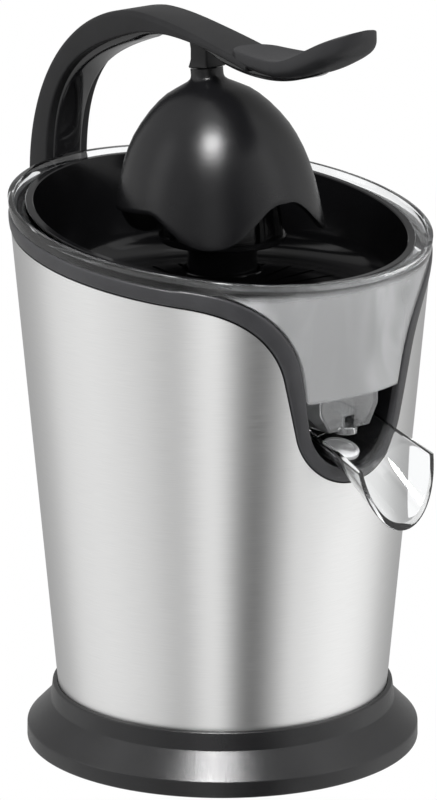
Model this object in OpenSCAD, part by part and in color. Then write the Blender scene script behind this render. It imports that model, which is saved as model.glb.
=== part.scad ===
// Lever-operated electric citrus press.
// Frame: origin at the centre of the stand's underside, +Z up, the spout
// points to -Y and the handle's hinge is at the rear, +Y. Millimetres.

/* [Housing] */
// Radius of the steel shell's outer face, carried down to z = 0
cone_r0 = 71.6; // [70.5:0.1:73]
// Growth of that radius for each millimetre of height
cone_slope = 0.089; // [0.085:0.001:0.095]
// Height of the rim plane above the axis
rim_z = 240.5; // [239:0.5:242]
// Rise of the rim plane for each millimetre towards the rear
rim_slope = 0.14; // [0.12:0.01:0.15]
// Thickness of the steel shell
shell_t = 1; // [0.8:0.1:1.1]
// Thickness of the moulded walls
wall_t = 2; // [1.6:0.1:2.2]
// Gap between the steel shell and the tub inside it
shell_gap = 0.3; // [0.2:0.05:0.4]

/* [Stand] */
// Radius of the stand's lip
stand_r = 88; // [87:0.5:92]
// Top of the lip's upright face
stand_lip_z = 7; // [6:0.5:8]
// Height where the flare meets the collar
stand_flare_z = 18.4; // [18:0.1:19.5]
// Top of the collar around the shell
stand_top_z = 27; // [25:0.5:30]
// Height of the ledge that the shell stands on
shell_z = 19; // [19:0.1:20]
// Thickness of the anti-slip ring
foot_t = 1.5; // [1.2:0.1:1.5]
// Width of the anti-slip ring
foot_w = 4.5; // [3:0.5:6]
// Thickness of the base plate
plate_t = 3; // [2.5:0.1:3.5]
// Radius of the circle of base screws
base_screw_r = 74; // [73.5:0.1:74.5]

/* [Front opening] */
// Radius of the opening's round bottom
open_r = 32; // [31.5:0.1:33]
// Height of that arc's centre
open_z = 168; // [167.5:0.1:169]
// Radius of the shoulder where the edge sweeps into the rim
shoulder_r = 45; // [44:0.1:46]
// Place of the shoulder's centre, across and up
shoulder_pos = [81.3, 175.1];
// Half width at which the opening's edge joins the rim trim
open_join_x = 74; // [72:0.5:76]

/* [Trim] */
// Drop from the rim plane to the trim's lower edge
trim_low = 13.5; // [13:0.1:14.5]
// Drop from the rim plane to the trim's upper edge
trim_top = 5.5; // [5:0.1:6]
// Width of the trim around the front opening
trim_w = 6.5; // [6:0.1:7]
// Thickness of the trim
trim_t = 3.2; // [3:0.1:3.4]
// How far the trim stands out of the shell's face
trim_proud = 0.4; // [0:0.1:0.6]

/* [Tub] */
// Top of the deck that carries the juice collector
deck_z = 173.7; // [172.5:0.1:173.8]
// Thickness of the deck
deck_t = 3; // [2.5:0.1:3.5]
// Face of the front pocket's back wall
pocket_y = -50; // [-51:0.5:-49]
// Outer radius of the tower around the drive shaft
tower_r = 9.5; // [9:0.1:9.8]
// Top of the tower
tower_z = 196; // [195:0.5:197]

/* [Juice collector] */
// Underside of the collector's floor
collector_z = 174; // [174:0.1:174.5]
// Gap between the collector's wall and the shell's outer face
collector_inset = 7; // [6.8:0.1:7.4]
// Lower edge of the clear apron
apron_z = 175; // [175:0.1:176]
// Gap between the apron and the trim
apron_gap = 0.8; // [0.6:0.1:1.2]
// Outer radius of the collector's chimney
chimney_r = 12.3; // [12.2:0.1:12.6]
// Top of the chimney
chimney_z = 216; // [212:0.5:218]
// Half width of the outlet box
outlet_x = 12; // [11:0.5:12.5]
// Underside of the outlet box
outlet_z = 158.8; // [158.8:0.1:160]
// Front face of the outlet box
outlet_y = -80.6; // [-81:0.1:-80]
// Outer radius of the outlet nozzle
nozzle_r = 5; // [4.5:0.1:5.5]
// Centre of the nozzle, front to back
nozzle_y = -78.5; // [-78.5:0.1:-78]

/* [Strainer] */
// Gap between the strainer's wall and the shell's outer face
strainer_inset = 9.3; // [9.2:0.1:9.6]
// Underside of the strainer's floor
strainer_z = 202; // [201:0.5:203]
// Number of slots in the floor
slot_count = 30; // [20:1:36]
// Width of one slot
slot_w = 2; // [1.5:0.1:2.5]

/* [Spout] */
// Outer radius of the half-pipe
spout_r = 22.5; // [22:0.1:23]
// Wall of the half-pipe
spout_t = 2.2; // [2:0.1:2.4]
// Slope of the spout's upper edges, degrees
spout_tilt = 18.2; // [18:0.1:18.6]
// Slope of the outer half of the floor, degrees
spout_fall = 36; // [34:0.5:38]
// Where the floor bends down, front to back
spout_bend_y = -85; // [-86:0.5:-84]
// Tip of the spout's upper edges
spout_tip_y = -109.5; // [-111:0.5:-108]
// Slope of the spout's end from upright, degrees
spout_end_tilt = 12; // [8:1:15]
// Radius of the spout's pivot stubs
spout_pin_r = 2; // [1.8:0.1:2.2]
// Radius of the silicone stopper
stopper_r = 8.25; // [7.5:0.25:8.5]

/* [Handle] */
// Width of the arm
arm_w = 25; // [24:0.5:26]
// Width of the arm where it enters the bracket
knuckle_w = 16; // [15:0.5:17]
// Radius of the knuckle around the hinge pin
knuckle_r = 8; // [7.5:0.1:8.3]
// Hinge axis, back and up
hinge_pos = [107, 228];
// Radius of the hinge pin
hinge_pin_r = 2.5; // [2:0.1:3]
// Half width of the grip at its widest
grip_half_w = 15.5; // [14:0.5:17]
// Side of the square post above the dome
post_w = 10.5; // [10:0.1:11.5]

/* [Press dome] */
// Radius of the dome at its lower edge
dome_r = 46.5; // [46:0.1:47]
// Wall of the dome
dome_t = 2.6; // [2.4:0.1:3]
// Lean of the dome from upright, degrees
dome_lean = 6.7; // [6:0.1:7]
// Depth of the waves along the lower edge
dome_wave = 8; // [6:0.5:9]

/* [Reamer and drive] */
// Radius of the reamer's flange
reamer_r = 28; // [26:0.5:29]
// Top of the reamer's flange
reamer_z = 232; // [231:0.5:233]
// Height of the reamer's tip
reamer_tip_z = 284; // [280:0.5:285]
// Number of ribs on the reamer
rib_count = 10; // [8:1:12]
// Radius of the drive shaft
shaft_r = 4; // [4:0.1:4.2]
// Size across the flats of the shaft's hexagons
hex_af = 6.8; // [6.4:0.1:6.9]
// Running clearance of round shafts in their bores
run_gap = 0.06; // [0.04:0.01:0.08]
// Travel of the shaft when fruit is pressed down
press_travel = 3; // [2:0.5:3]

/* [Gears] */
// Module of the gear pair at the motor
motor_module = 1; // [1:0.01:1]
// Teeth of the motor pinion
pinion_teeth = 12; // [12:1:12]
// Teeth of the large idler gear
idler_teeth = 48; // [48:1:48]
// Module of the gear pair at the output
output_module = 1.25; // [1.25:0.01:1.25]
// Teeth of the small idler gear
small_teeth = 14; // [14:1:14]
// Teeth of the output gear
output_teeth = 49; // [49:1:49]
// Backlash of each gear pair
backlash = 0.2; // [0.15:0.01:0.3]

/* [Gearbox] */
// Top of the gearbox floor
floor_z = 103; // [102:0.5:103]
// Thickness of the gearbox floor and cover
floor_t = 3; // [2.5:0.1:3]
// Underside of the gearbox cover
cover_z = 131; // [131:0.1:132]
// Wall of the gearbox
gearbox_wall = 2.5; // [2:0.1:3]
// Half width of the gearbox flange
flange_x = 46; // [45:0.5:47]

/* [Motor] */
// Outer radius of the stator
stator_r = 27; // [26:0.5:27.5]
// Lower face of the stator
stator_z = 42; // [41:0.5:43]
// Height of the stator
stator_h = 30; // [28:0.5:31]
// Radius of the rotor
rotor_r = 14.5; // [14:0.1:14.6]
// Radius of the motor shaft
motor_shaft_r = 3; // [2.5:0.1:3]

/* [Hidden] */
$fn = 96;
far = 150;
soft_fn = 32;

// ---- Shared shapes -------------------------------------------------------

rim_tilt = atan(rim_slope);
cone_top = 262;

function cone_r(z) = cone_r0 + cone_slope * z;

// Solid frustum that follows the shell, off millimetres outside its face
module cone_solid(off, z0, z1)
    translate([0, 0, z0])
        cylinder(h = z1 - z0, r1 = cone_r(z0) + off, r2 = cone_r(z1) + off);

// Conical wall between two offsets from the shell's outer face
module cone_band(outer, inner, z0, z1)
    difference() {
        cone_solid(outer, z0, z1);
        cone_solid(inner, z0 - 1, z1 + 1);
    }

// Half space below the plane that lies drop millimetres under the rim
module under_rim(drop)
    translate([0, 0, rim_z - drop])
        rotate([rim_tilt, 0, 0])
            translate([-far, -far, -2 * far])
                cube(2 * far);

module clip_under(drop)
    intersection() {
        children();
        under_rim(drop);
    }

module tube(r_out, r_in, z0, z1)
    translate([0, 0, z0])
        difference() {
            cylinder(h = z1 - z0, r = r_out);
            translate([0, 0, -1]) cylinder(h = z1 - z0 + 2, r = r_in);
        }

module rod(r, z0, z1)
    translate([0, 0, z0]) cylinder(h = z1 - z0, r = r);

module hex_rod(af, z0, z1)
    translate([0, 0, z0]) cylinder(h = z1 - z0, r = af / sqrt(3), $fn = 6);

module slab(x0, x1, y0, y1, z0, z1)
    translate([x0, y0, z0]) cube([x1 - x0, y1 - y0, z1 - z0]);

// A rod along X, centred on x = 0
module cross_rod(r, len, y, z)
    translate([-len / 2, y, z]) rotate([0, 90, 0]) cylinder(h = len, r = r);

// Profile in the YZ plane, extruded along X about x = 0
module side_plate(width)
    translate([-width / 2, 0, 0])
        rotate([90, 0, 90])
            linear_extrude(height = width) children();

// Direction of the straight edge between the bottom arc and the shoulder
function edge_dir(ra, rb) =
    atan2(shoulder_pos[1] - open_z, shoulder_pos[0])
    + asin((ra + rb) / norm([shoulder_pos[0], shoulder_pos[1] - open_z]));

// Right half of the front opening's outline, inset towards its middle
function opening_half(inset) =
    let (ra = open_r - inset,
         rb = shoulder_r + inset * (trim_low - trim_top) / trim_w,
         dir = edge_dir(ra, rb),
         last = asin((shoulder_pos[0] - open_join_x) / rb))
    concat(
        [for (i = [1:12]) let (t = dir * i / 12) [ra * sin(t), open_z - ra * cos(t)]],
        [for (i = [0:12]) let (t = dir + (last - dir) * i / 12)
            shoulder_pos + rb * [-sin(t), cos(t)]],
        [[open_join_x, cone_top + 10]]);

module opening_2d(inset) {
    half = opening_half(inset);
    polygon(concat([[0, open_z - open_r + inset]], half,
                   [for (p = reversed(half)) [-p[0], p[1]]]));
}

// The opening's outline carried forward from a given y
module opening_prism(inset, from_y)
    translate([0, from_y, 0])
        rotate([90, 0, 0])
            linear_extrude(height = far + from_y) opening_2d(inset);

// Points of a cubic curve, n steps
function bezier(p, n) = [for (i = [0:n]) let (t = i / n, s = 1 - t)
    s * s * s * p[0] + 3 * s * s * t * p[1] + 3 * s * t * t * p[2] + t * t * t * p[3]];

function reversed(list) = [for (i = [len(list) - 1:-1:0]) list[i]];

// Screw along Z with its head below z0
module screw_up(z0, len, r, head_r, head_h) {
    rod(r, z0, z0 + len);
    rod(head_r, z0 - head_h, z0);
}

// ---- Stand ---------------------------------------------------------------

plate_z = foot_t;
plate_top = plate_z + plate_t;
lip_t = 3.4;
collar_t = 1.6;
fit_gap = 0.1;
ledge_w = 3.8;
ledge_t = 2.8;
boss_r = 4.2;
screw_core = 1.5;
screw_head_r = 3.2;
counterbore = 1.5;
base_screw_len = 10;
base_screw_angles = [45, 135, 225, 315];

module base_ring()
    color("#1c1c1e") {
        ledge_r = cone_r(shell_z) + fit_gap - ledge_w;
        difference() {
            union() {
                rotate_extrude()
                    polygon([
                        [stand_r - lip_t, 1], [stand_r, 1],
                        [stand_r, stand_lip_z],
                        [cone_r(stand_flare_z) + fit_gap + 2.9, stand_flare_z],
                        [cone_r(stand_top_z) + fit_gap + collar_t, stand_top_z],
                        [cone_r(stand_top_z) + fit_gap, stand_top_z],
                        [cone_r(shell_z) + fit_gap, shell_z],
                        [ledge_r, shell_z],
                        [ledge_r, shell_z - ledge_t],
                        [ledge_r + 4, shell_z - ledge_t],
                        [stand_r - lip_t, stand_lip_z - 1.4]
                    ]);
                for (a = base_screw_angles)
                    rotate(a) translate([base_screw_r, 0, 0])
                        rod(boss_r, plate_top, shell_z - ledge_t + 0.5);
            }
            for (a = base_screw_angles)
                rotate(a) translate([base_screw_r, 0, 0])
                    union() {
                        rod(screw_core + 0.05, 0, plate_z + counterbore + base_screw_len + 1);
                        rod(screw_head_r + 0.4, 0, plate_z + counterbore);
                    }
        }
    }

vent_count = 12;
vent_w = 4;

module base_plate()
    color("#232326")
        difference() {
            rod(stand_r - lip_t - 0.2, plate_z, plate_top);
            for (a = base_screw_angles)
                rotate(a) translate([base_screw_r, 0, 0]) {
                    rod(screw_core + 0.3, 0, plate_top + 1);
                    rod(screw_head_r + 0.4, 0, plate_z + counterbore);
                }
            for (i = [0:vent_count - 1])
                rotate(i * 360 / vent_count)
                    slab(26, 58, -vent_w / 2, vent_w / 2, 0, plate_top + 1);
        }

module foot_ring()
    color("#2b2b2d")
        tube(stand_r - lip_t - 1, stand_r - lip_t - 1 - foot_w, 0, foot_t);

module base_screws()
    color("silver")
        for (a = base_screw_angles)
            rotate(a) translate([base_screw_r, 0, 0])
                screw_up(plate_z + counterbore, base_screw_len, screw_core,
                         screw_head_r, counterbore - 0.3);

// ---- Shell, trim and tub -------------------------------------------------

gland_z = 36;
gland_r = 6;
bracket_screw_z = [206, 222];
bracket_screw_r = 2;

module steel_shell()
    color("#c4c5c6")
        difference() {
            clip_under(trim_low) cone_band(0, -shell_t, shell_z, cone_top);
            opening_prism(0, -20);
            cord_hole();
            hinge_screw_holes(bracket_screw_r + 0.2);
        }

module cord_hole()
    translate([0, 40, gland_z]) rotate([-90, 0, 0])
        cylinder(h = 60, r = gland_r);

module hinge_screw_holes(r)
    for (z = bracket_screw_z)
        translate([0, 60, z]) rotate([-90, 0, 0])
            cylinder(h = 60, r = r);

module trim_band()
    cone_band(trim_proud, trim_proud - trim_t, 120, cone_top);

module trim_bezel()
    color("#2a2a2c")
        difference() {
            union() {
                difference() {
                    clip_under(trim_top) trim_band();
                    under_rim(trim_low);
                }
                intersection() {
                    clip_under(trim_top + 1) trim_band();
                    opening_prism(0, -20);
                }
            }
            opening_prism(trim_w, -21);
        }

tub_out = -(shell_t + shell_gap);
tub_in = tub_out - wall_t;
trim_back = trim_proud - trim_t;
collar_in = trim_back - wall_t;
pillar_pos = [[40, -22], [-40, -22], [40, 38], [-40, 38]];
pillar_r = 5;
bush_r = 6;
bush_h = 18;
gearbox_top = cover_z + floor_t;

module inner_tub()
    color("#303033")
        difference() {
            union() {
                difference() {
                    clip_under(trim_low) cone_band(tub_out, tub_in, shell_z, cone_top);
                    opening_prism(0, -20);
                }
                tub_collar();
                difference() {
                    cone_solid(tub_in + 0.3, deck_z - deck_t, deck_z);
                    opening_prism(trim_w, pocket_y);
                }
                pocket_wall();
                rod(tower_r, deck_z - 6, tower_z);
                for (p = pillar_pos)
                    translate([p[0], p[1], 0])
                        rod(pillar_r, gearbox_top, deck_z - deck_t + 0.5);
                hinge_pad();
            }
            rod(bush_r, tower_z - bush_h - 2, tower_z + 1);
            rod(shaft_r + 1, deck_z - 7, tower_z);
            for (p = pillar_pos)
                translate([p[0], p[1], 0])
                    rod(screw_core + 0.05, gearbox_top - 1, gearbox_top + 14);
            cord_hole();
            hinge_screw_holes(screw_core + 0.35);
        }

// Ring that backs the trim, around the rim and around the opening
module tub_collar()
    difference() {
        union() {
            difference() {
                clip_under(trim_top + 2) collar_band();
                under_rim(trim_low + 8);
            }
            intersection() {
                clip_under(trim_top + 3) collar_band();
                opening_prism(-4, -20);
            }
        }
        opening_prism(trim_w, -21);
    }

module collar_band()
    cone_band(trim_back, collar_in, 120, cone_top);

// Liner of the pocket that the spout and the outlet stand in
module pocket_wall()
    intersection() {
        difference() {
            opening_prism(trim_w - wall_t, pocket_y + wall_t);
            opening_prism(trim_w, pocket_y);
        }
        cone_solid(trim_back, 120, deck_z);
    }

// Thick pad inside the rear wall that the hinge screws bite into
module hinge_pad()
    intersection() {
        slab(-9, 9, 60, 110, 199, 227);
        difference() {
            cone_solid(tub_in + 0.3, 190, 230);
            cone_solid(tub_in - 1.5, 189, 231);
        }
    }

module cord_gland()
    color("#1a1a1c") {
        face = cone_r(gland_z);
        difference() {
            union() {
                translate([0, face - 6, gland_z]) rotate([-90, 0, 0])
                    cylinder(h = 8, r = gland_r - 0.1);
                difference() {
                    translate([0, face - 1, gland_z]) rotate([-90, 0, 0])
                        cylinder(h = 3.5, r = gland_r + 2.5);
                    cone_solid(0.1, gland_z - 12, gland_z + 12);
                }
            }
            translate([0, face - 8, gland_z]) rotate([-90, 0, 0])
                cylinder(h = 14, r = 3.6);
        }
    }

// ---- Gear train ----------------------------------------------------------

pressure = 20;
stage1_d = motor_module * (pinion_teeth + idler_teeth) / 2;
stage2_d = output_module * (small_teeth + output_teeth) / 2;
idler_pos = [0, stage2_d];
motor_dir = 210;
motor_pos = idler_pos + stage1_d * [cos(motor_dir), sin(motor_dir)];
shift1 = 0.4;
shift2 = 0.3;

// Outer radius of a gear with profile shift x
function tip_r(m, z, x) = m * (z / 2 + 1 + x);
function roll(r, rb) = r > rb ? sqrt(pow(r / rb, 2) - 1) : 0;
function polar(r, a) = r * [cos(a), sin(a)];
function involute_a(t) = t * 180 / PI - atan(t);

// One tooth: up the flank, across the tip and down again
function tooth(m, z, x) =
    let (rp = m * z / 2, rb = rp * cos(pressure), ra = tip_r(m, z, x),
         rf = m * (z / 2 - 1.25 + x), t0 = roll(max(rf, rb), rb), t1 = roll(ra, rb),
         half = 90 / z + 2 * x * tan(pressure) / z * 180 / PI
                - backlash / 4 / rp * 180 / PI,
         base = half + involute_a(roll(rp, rb)),
         flank = [for (i = [0:4]) let (t = t0 + (t1 - t0) * i / 4)
                  [rb * sqrt(1 + t * t), base - involute_a(t)]])
    concat(
        [polar(rf, -base)],
        [for (p = flank) polar(p[0], -p[1])],
        [for (p = reversed(flank)) polar(p[0], p[1])],
        [polar(rf, base)]);

function turned(p, a) = [p[0] * cos(a) - p[1] * sin(a), p[0] * sin(a) + p[1] * cos(a)];

module gear_2d(m, z, x)
    polygon([for (k = [0:z - 1]) for (p = tooth(m, z, x)) turned(p, k * 360 / z)]);

module gear(m, z, x, z0, z1, turn)
    translate([0, 0, z0]) rotate(turn)
        linear_extrude(height = z1 - z0) gear_2d(m, z, x);

module at_idler() translate([idler_pos[0], idler_pos[1], 0]) children();
module at_motor() translate([motor_pos[0], motor_pos[1], 0]) children();

output_z = floor_z + 16;
output_h = 10;
hub_r = 9;
hub_z0 = floor_z + 13.2;
hub_z1 = gearbox_top - 0.5;
idler_z = floor_z + 3;
idler_h = 8;
idler_pin_r = 3;
hex_gap = 0.3;

module output_gear()
    color("#e6e0cf")
        difference() {
            union() {
                gear(output_module, output_teeth, -shift2, output_z, output_z + output_h, 90);
                rod(hub_r, hub_z0, hub_z1);
            }
            hex_rod(hex_af + hex_gap, hub_z0 - 1, hub_z1 + 1);
        }

module idler_gear()
    color("#e6e0cf")
        at_idler() difference() {
            union() {
                gear(motor_module, idler_teeth, -shift1, idler_z, idler_z + idler_h, motor_dir);
                gear(output_module, small_teeth, shift2, idler_z + idler_h,
                     cover_z - 1, 270 + 180 / small_teeth);
            }
            rod(idler_pin_r + run_gap, idler_z - 1, cover_z);
        }

module idler_pin()
    color("silver")
        at_idler() rod(idler_pin_r, floor_z - floor_t, gearbox_top);

module motor_pinion()
    color("#b99a5b")
        at_motor() difference() {
            gear(motor_module, pinion_teeth, shift1, idler_z - 1, idler_z + idler_h + 1,
                 motor_dir - 180 + 180 / pinion_teeth);
            rod(motor_shaft_r, idler_z - 2, idler_z + idler_h + 2);
        }

// ---- Gearbox -------------------------------------------------------------

chamber = [
    [[0, 0], tip_r(output_module, output_teeth, -shift2) + 2.5],
    [idler_pos, tip_r(motor_module, idler_teeth, -shift1) + 2.9],
    [motor_pos, tip_r(motor_module, pinion_teeth, shift1) + 2.6]
];
guide_r = 3;
thrust_ring_r = 12;
thrust_ring_in = 8.4;
motor_post_angles = [120, 210, 300];
motor_post_d = 23;
switch_x = [-4, 20];
switch_y = 3.3;
switch_z = [floor_z - 19, floor_z - 9];

module chamber_2d(grow)
    for (c = chamber)
        translate(c[0]) circle(r = c[1] + grow);

module flange_2d()
    translate([-flange_x, -28]) square([2 * flange_x, 72]);

module at_pillars()
    for (p = pillar_pos) translate([p[0], p[1], 0]) children();

module at_motor_posts()
    at_motor() for (a = motor_post_angles)
        rotate(a) translate([motor_post_d, 0, 0]) children();

module gearbox_housing()
    color("#3a3a3d")
        difference() {
            union() {
                translate([0, 0, floor_z - floor_t])
                    linear_extrude(height = cover_z - floor_z + floor_t)
                        chamber_2d(gearbox_wall);
                translate([0, 0, cover_z - floor_t])
                    linear_extrude(height = floor_t) flange_2d();
                at_motor() rod(stator_r + 2.5, floor_z - floor_t, floor_z);
                slab(4, 20, switch_y, switch_y + 2.5, switch_z[0], floor_z - floor_t + 0.5);
            }
            difference() {
                translate([0, 0, floor_z])
                    linear_extrude(height = cover_z) chamber_2d(0);
                tube(thrust_ring_r, thrust_ring_in, floor_z - 1, hub_z0 - 0.2);
                at_idler() rod(6, floor_z - 1, idler_z - 0.2);
            }
            rod(guide_r + run_gap, 0, floor_z + 1);
            at_idler() rod(idler_pin_r, 0, floor_z + 5);
            at_motor() rod(motor_shaft_r + 2, 0, floor_z + 1);
            at_pillars() rod(screw_core + 0.3, 0, cover_z + 1);
            at_motor_posts() rod(screw_core + 0.2, 0, floor_z + 1);
        }

module gearbox_cover()
    color("#444448")
        difference() {
            translate([0, 0, cover_z]) linear_extrude(height = floor_t)
                union() {
                    flange_2d();
                    chamber_2d(gearbox_wall);
                }
            rod(hub_r + run_gap, cover_z - 1, gearbox_top + 1);
            at_idler() rod(idler_pin_r, cover_z - 1, gearbox_top + 1);
            at_pillars() rod(screw_core + 0.3, cover_z - 1, gearbox_top + 1);
        }

module gearbox_screws()
    color("silver")
        at_pillars() screw_up(cover_z - floor_t, 18, screw_core, screw_head_r, 2.4);

// ---- Motor ---------------------------------------------------------------

stator_top = stator_z + stator_h;
winding_h = 8.5;
cap_reach = 2;
cap_low_z = stator_z - 11.5;
cap_high_z = stator_top + 11;
cap_plate = 2.5;
cap_t = 2;

module motor_stator()
    color("#8d9096")
        at_motor() tube(stator_r, rotor_r + 0.5, stator_z, stator_top);

module motor_windings()
    color("#b5642c")
        at_motor() {
            tube(stator_r - 2, rotor_r + 2, stator_z - winding_h, stator_z);
            tube(stator_r - 2, rotor_r + 2, stator_top, stator_top + winding_h);
        }

// Cup that grips one end of the stator and carries a bearing
module motor_cap(plate_z0, z0, z1) {
    tube(stator_r + cap_t, stator_r, z0, z1);
    difference() {
        rod(stator_r + cap_t, plate_z0, plate_z0 + cap_plate);
        rod(motor_shaft_r + run_gap, plate_z0 - 1, plate_z0 + cap_plate + 1);
        for (a = [75:90:345])
            rotate(a) translate([15, 0, 0]) rod(5, plate_z0 - 1, plate_z0 + cap_plate + 1);
    }
}

module motor_cap_lower()
    color("#a9abae")
        at_motor() motor_cap(cap_low_z, cap_low_z, stator_z + cap_reach);

module motor_cap_upper()
    color("#a9abae")
        difference() {
            union() {
                at_motor() motor_cap(cap_high_z - cap_plate, stator_top - cap_reach, cap_high_z);
                at_motor_posts() rod(3.5, cap_high_z - 0.5, floor_z - floor_t);
            }
            at_motor_posts() rod(screw_core - 0.05, cap_high_z + 2, floor_z);
        }

module motor_screws()
    color("silver")
        at_motor_posts() {
            rod(screw_core - 0.1, floor_z - 12, floor_z);
            rod(2.8, floor_z, floor_z + 2);
        }

module motor_shaft()
    color("silver")
        at_motor() rod(motor_shaft_r, cap_low_z - 12, idler_z + idler_h + 3);

module motor_rotor()
    color("#9a9da2")
        at_motor() tube(rotor_r, motor_shaft_r, stator_z, stator_top);

blade_count = 9;
fan_z = [cap_low_z - 11, cap_low_z - 1.5];

module cooling_fan()
    color("#2f5f8f")
        at_motor() difference() {
            union() {
                rod(7, fan_z[0], fan_z[1]);
                rod(stator_r - 1, fan_z[0], fan_z[0] + 1.5);
                for (i = [0:blade_count - 1])
                    rotate(i * 360 / blade_count)
                        slab(6, stator_r - 1.2, -0.7, 0.7, fan_z[0], fan_z[1]);
            }
            rod(motor_shaft_r, fan_z[0] - 1, fan_z[1] + 1);
        }

// ---- Press switch --------------------------------------------------------

lever_pivot = [17, switch_z[1] + 1];
lever_rise = atan(press_travel / lever_pivot[0]);
lever_pin_r = 0.8;
thrust_tip_r = 1.2;
thrust_tip_z = lever_pivot[1] + press_travel + 0.65;
cup_z = [floor_z + 7, floor_z + 9.5];

module microswitch()
    color("#5a1f1f") {
        slab(switch_x[0], switch_x[1], -switch_y, switch_y, switch_z[0], switch_z[1]);
        for (x = [0, 8, 16])
            slab(x - 0.4, x + 0.4, -1.5, 1.5, switch_z[0] - 5, switch_z[0]);
        for (s = [-1, 1])
            difference() {
                slab(lever_pivot[0] - 1.7, lever_pivot[0] + 1.7, s * 2.4 - 0.5, s * 2.4 + 0.5,
                     switch_z[1], lever_pivot[1] + 1.6);
                lever_pin(lever_pin_r + 0.05);
            }
    }

// Cross pin that the lever tips on
module lever_pin(r)
    translate([lever_pivot[0], 2.9, lever_pivot[1]])
        rotate([90, 0, 0]) cylinder(h = 5.8, r = r);

module switch_lever()
    color("#d0b070") {
        translate([lever_pivot[0], 0, lever_pivot[1]])
            rotate([0, lever_rise, 0])
                slab(-lever_pivot[0] - 3, 0, -1.6, 1.6, -0.3, 0.3);
        lever_pin(lever_pin_r);
    }

module thrust_pin()
    color("#d8d8da") {
        rod(thrust_tip_r, thrust_tip_z, thrust_tip_z + 2.5);
        rod(guide_r, thrust_tip_z + 2, cup_z[0] + 0.5);
        rod(8, cup_z[0], cup_z[1]);
    }

spring_r = 5.8;
wire_r = 0.4;
spring_turns = 3;
ring_steps = 16;
wire_sides = 8;

// Helical spring as one swept mesh
module helix(radius, wire, turns, z0, z1) {
    rings = turns * ring_steps;
    points = [for (i = [0:rings]) let (a = i * 360 / ring_steps,
              z = z0 + wire + (z1 - z0 - 2 * wire) * i / rings)
        for (j = [0:wire_sides - 1]) let (b = j * 360 / wire_sides)
            [(radius + wire * cos(b)) * cos(a), (radius + wire * cos(b)) * sin(a), z + wire * sin(b)]];
    sides = [for (i = [0:rings - 1]) for (j = [0:wire_sides - 1])
        let (k = (j + 1) % wire_sides, p = i * wire_sides, q = p + wire_sides)
        [p + j, q + j, q + k, p + k]];
    first = [for (j = [0:wire_sides - 1]) j];
    last = [for (j = [wire_sides - 1:-1:0]) rings * wire_sides + j];
    polyhedron(points = points, faces = concat(sides, [first, last]), convexity = 4);
}

module return_spring()
    color("silver")
        helix(spring_r, wire_r, spring_turns, floor_z + 0.05, cup_z[0] - 0.05);

// ---- Shaft and reamer ----------------------------------------------------

seal_h = 2.5;
hex_low_top = hub_z1 + press_travel + 0.5;
hex_high_z = tower_z + seal_h + press_travel + 0.5;
shaft_top = reamer_z + 6;

module shaft_bush()
    color("#b08d57")
        tube(bush_r, shaft_r + run_gap, tower_z - bush_h, tower_z);

module lip_seal()
    color("#3c3c3e")
        tube(tower_r, shaft_r + run_gap, tower_z, tower_z + seal_h);

module drive_shaft()
    color("silver") {
        hex_rod(hex_af, cup_z[1] + 0.05, hex_low_top);
        rod(shaft_r, hex_low_top, hex_high_z);
        hex_rod(hex_af, hex_high_z, shaft_top);
    }

reamer_hub_r = 7;
skirt_in = chimney_r + 1;
skirt_r = skirt_in + 2;
skirt_z = strainer_z + 6;
reamer_t = 2.5;
flange_t = 3;

function reamer_curve(base_r) = bezier([[base_r, reamer_z],
    [base_r * 0.98, reamer_z + 24], [base_r * 0.42, reamer_tip_z - 8],
    [0, reamer_tip_z]], 14);

module reamer_cone()
    color("#19191b")
        difference() {
            union() {
                rotate_extrude()
                    polygon(concat(
                        [[0, reamer_z - 1], [reamer_r - 4, reamer_z - 1]],
                        reamer_curve(reamer_r - 4)));
                intersection() {
                    rotate_extrude()
                        polygon(concat([[0, reamer_z - 1], [reamer_r - 1, reamer_z - 1]],
                                       reamer_curve(reamer_r - 1)));
                    for (i = [0:rib_count - 1])
                        rotate(i * 360 / rib_count)
                            slab(0, reamer_r, -1.6, 1.6, reamer_z - 1, reamer_tip_z);
                }
                rod(reamer_r, reamer_z - flange_t, reamer_z);
                rod(skirt_r, skirt_z, reamer_z - 1);
            }
            rod(skirt_in, skirt_z - 1, reamer_z - flange_t - 3);
            difference() {
                rotate_extrude()
                    polygon(concat(
                        [[0, reamer_z - flange_t - 4],
                         [skirt_in, reamer_z - flange_t - 4],
                         [skirt_in, reamer_z - flange_t]],
                        bezier([[skirt_in, reamer_z - flange_t],
                                [skirt_in * 1.02, reamer_z + 14],
                                [skirt_in * 0.6, reamer_z + 24],
                                [0, reamer_tip_z - 14]], 8)));
                rod(reamer_hub_r, reamer_z - flange_t - 5, reamer_tip_z);
            }
            hex_rod(hex_af + hex_gap, skirt_z - 1, shaft_top + 1);
        }

// ---- Juice collector and strainer ----------------------------------------

band_t = 2.2;
floor_thick = 2;
apron_inset = trim_w + apron_gap;
outlet_top_x = outlet_x + 5;
outlet_shoulder_z = outlet_z + 9.2;
lug_x = [13, 16.4];
spout_pivot = [-57, 164];
pin_reach = 19.6;
ledge_drop = 4.6;

// Everything the collector's outer faces enclose
module collector_body(off, floor_h, apron_off, inset) {
    clip_under(ledge_drop)
        cone_solid(-collector_inset - off, floor_h, cone_top);
    clip_under(trim_top)
        intersection() {
            cone_solid(-apron_off, max(apron_z, floor_h), cone_top);
            opening_prism(inset, -40);
        }
}

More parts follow.
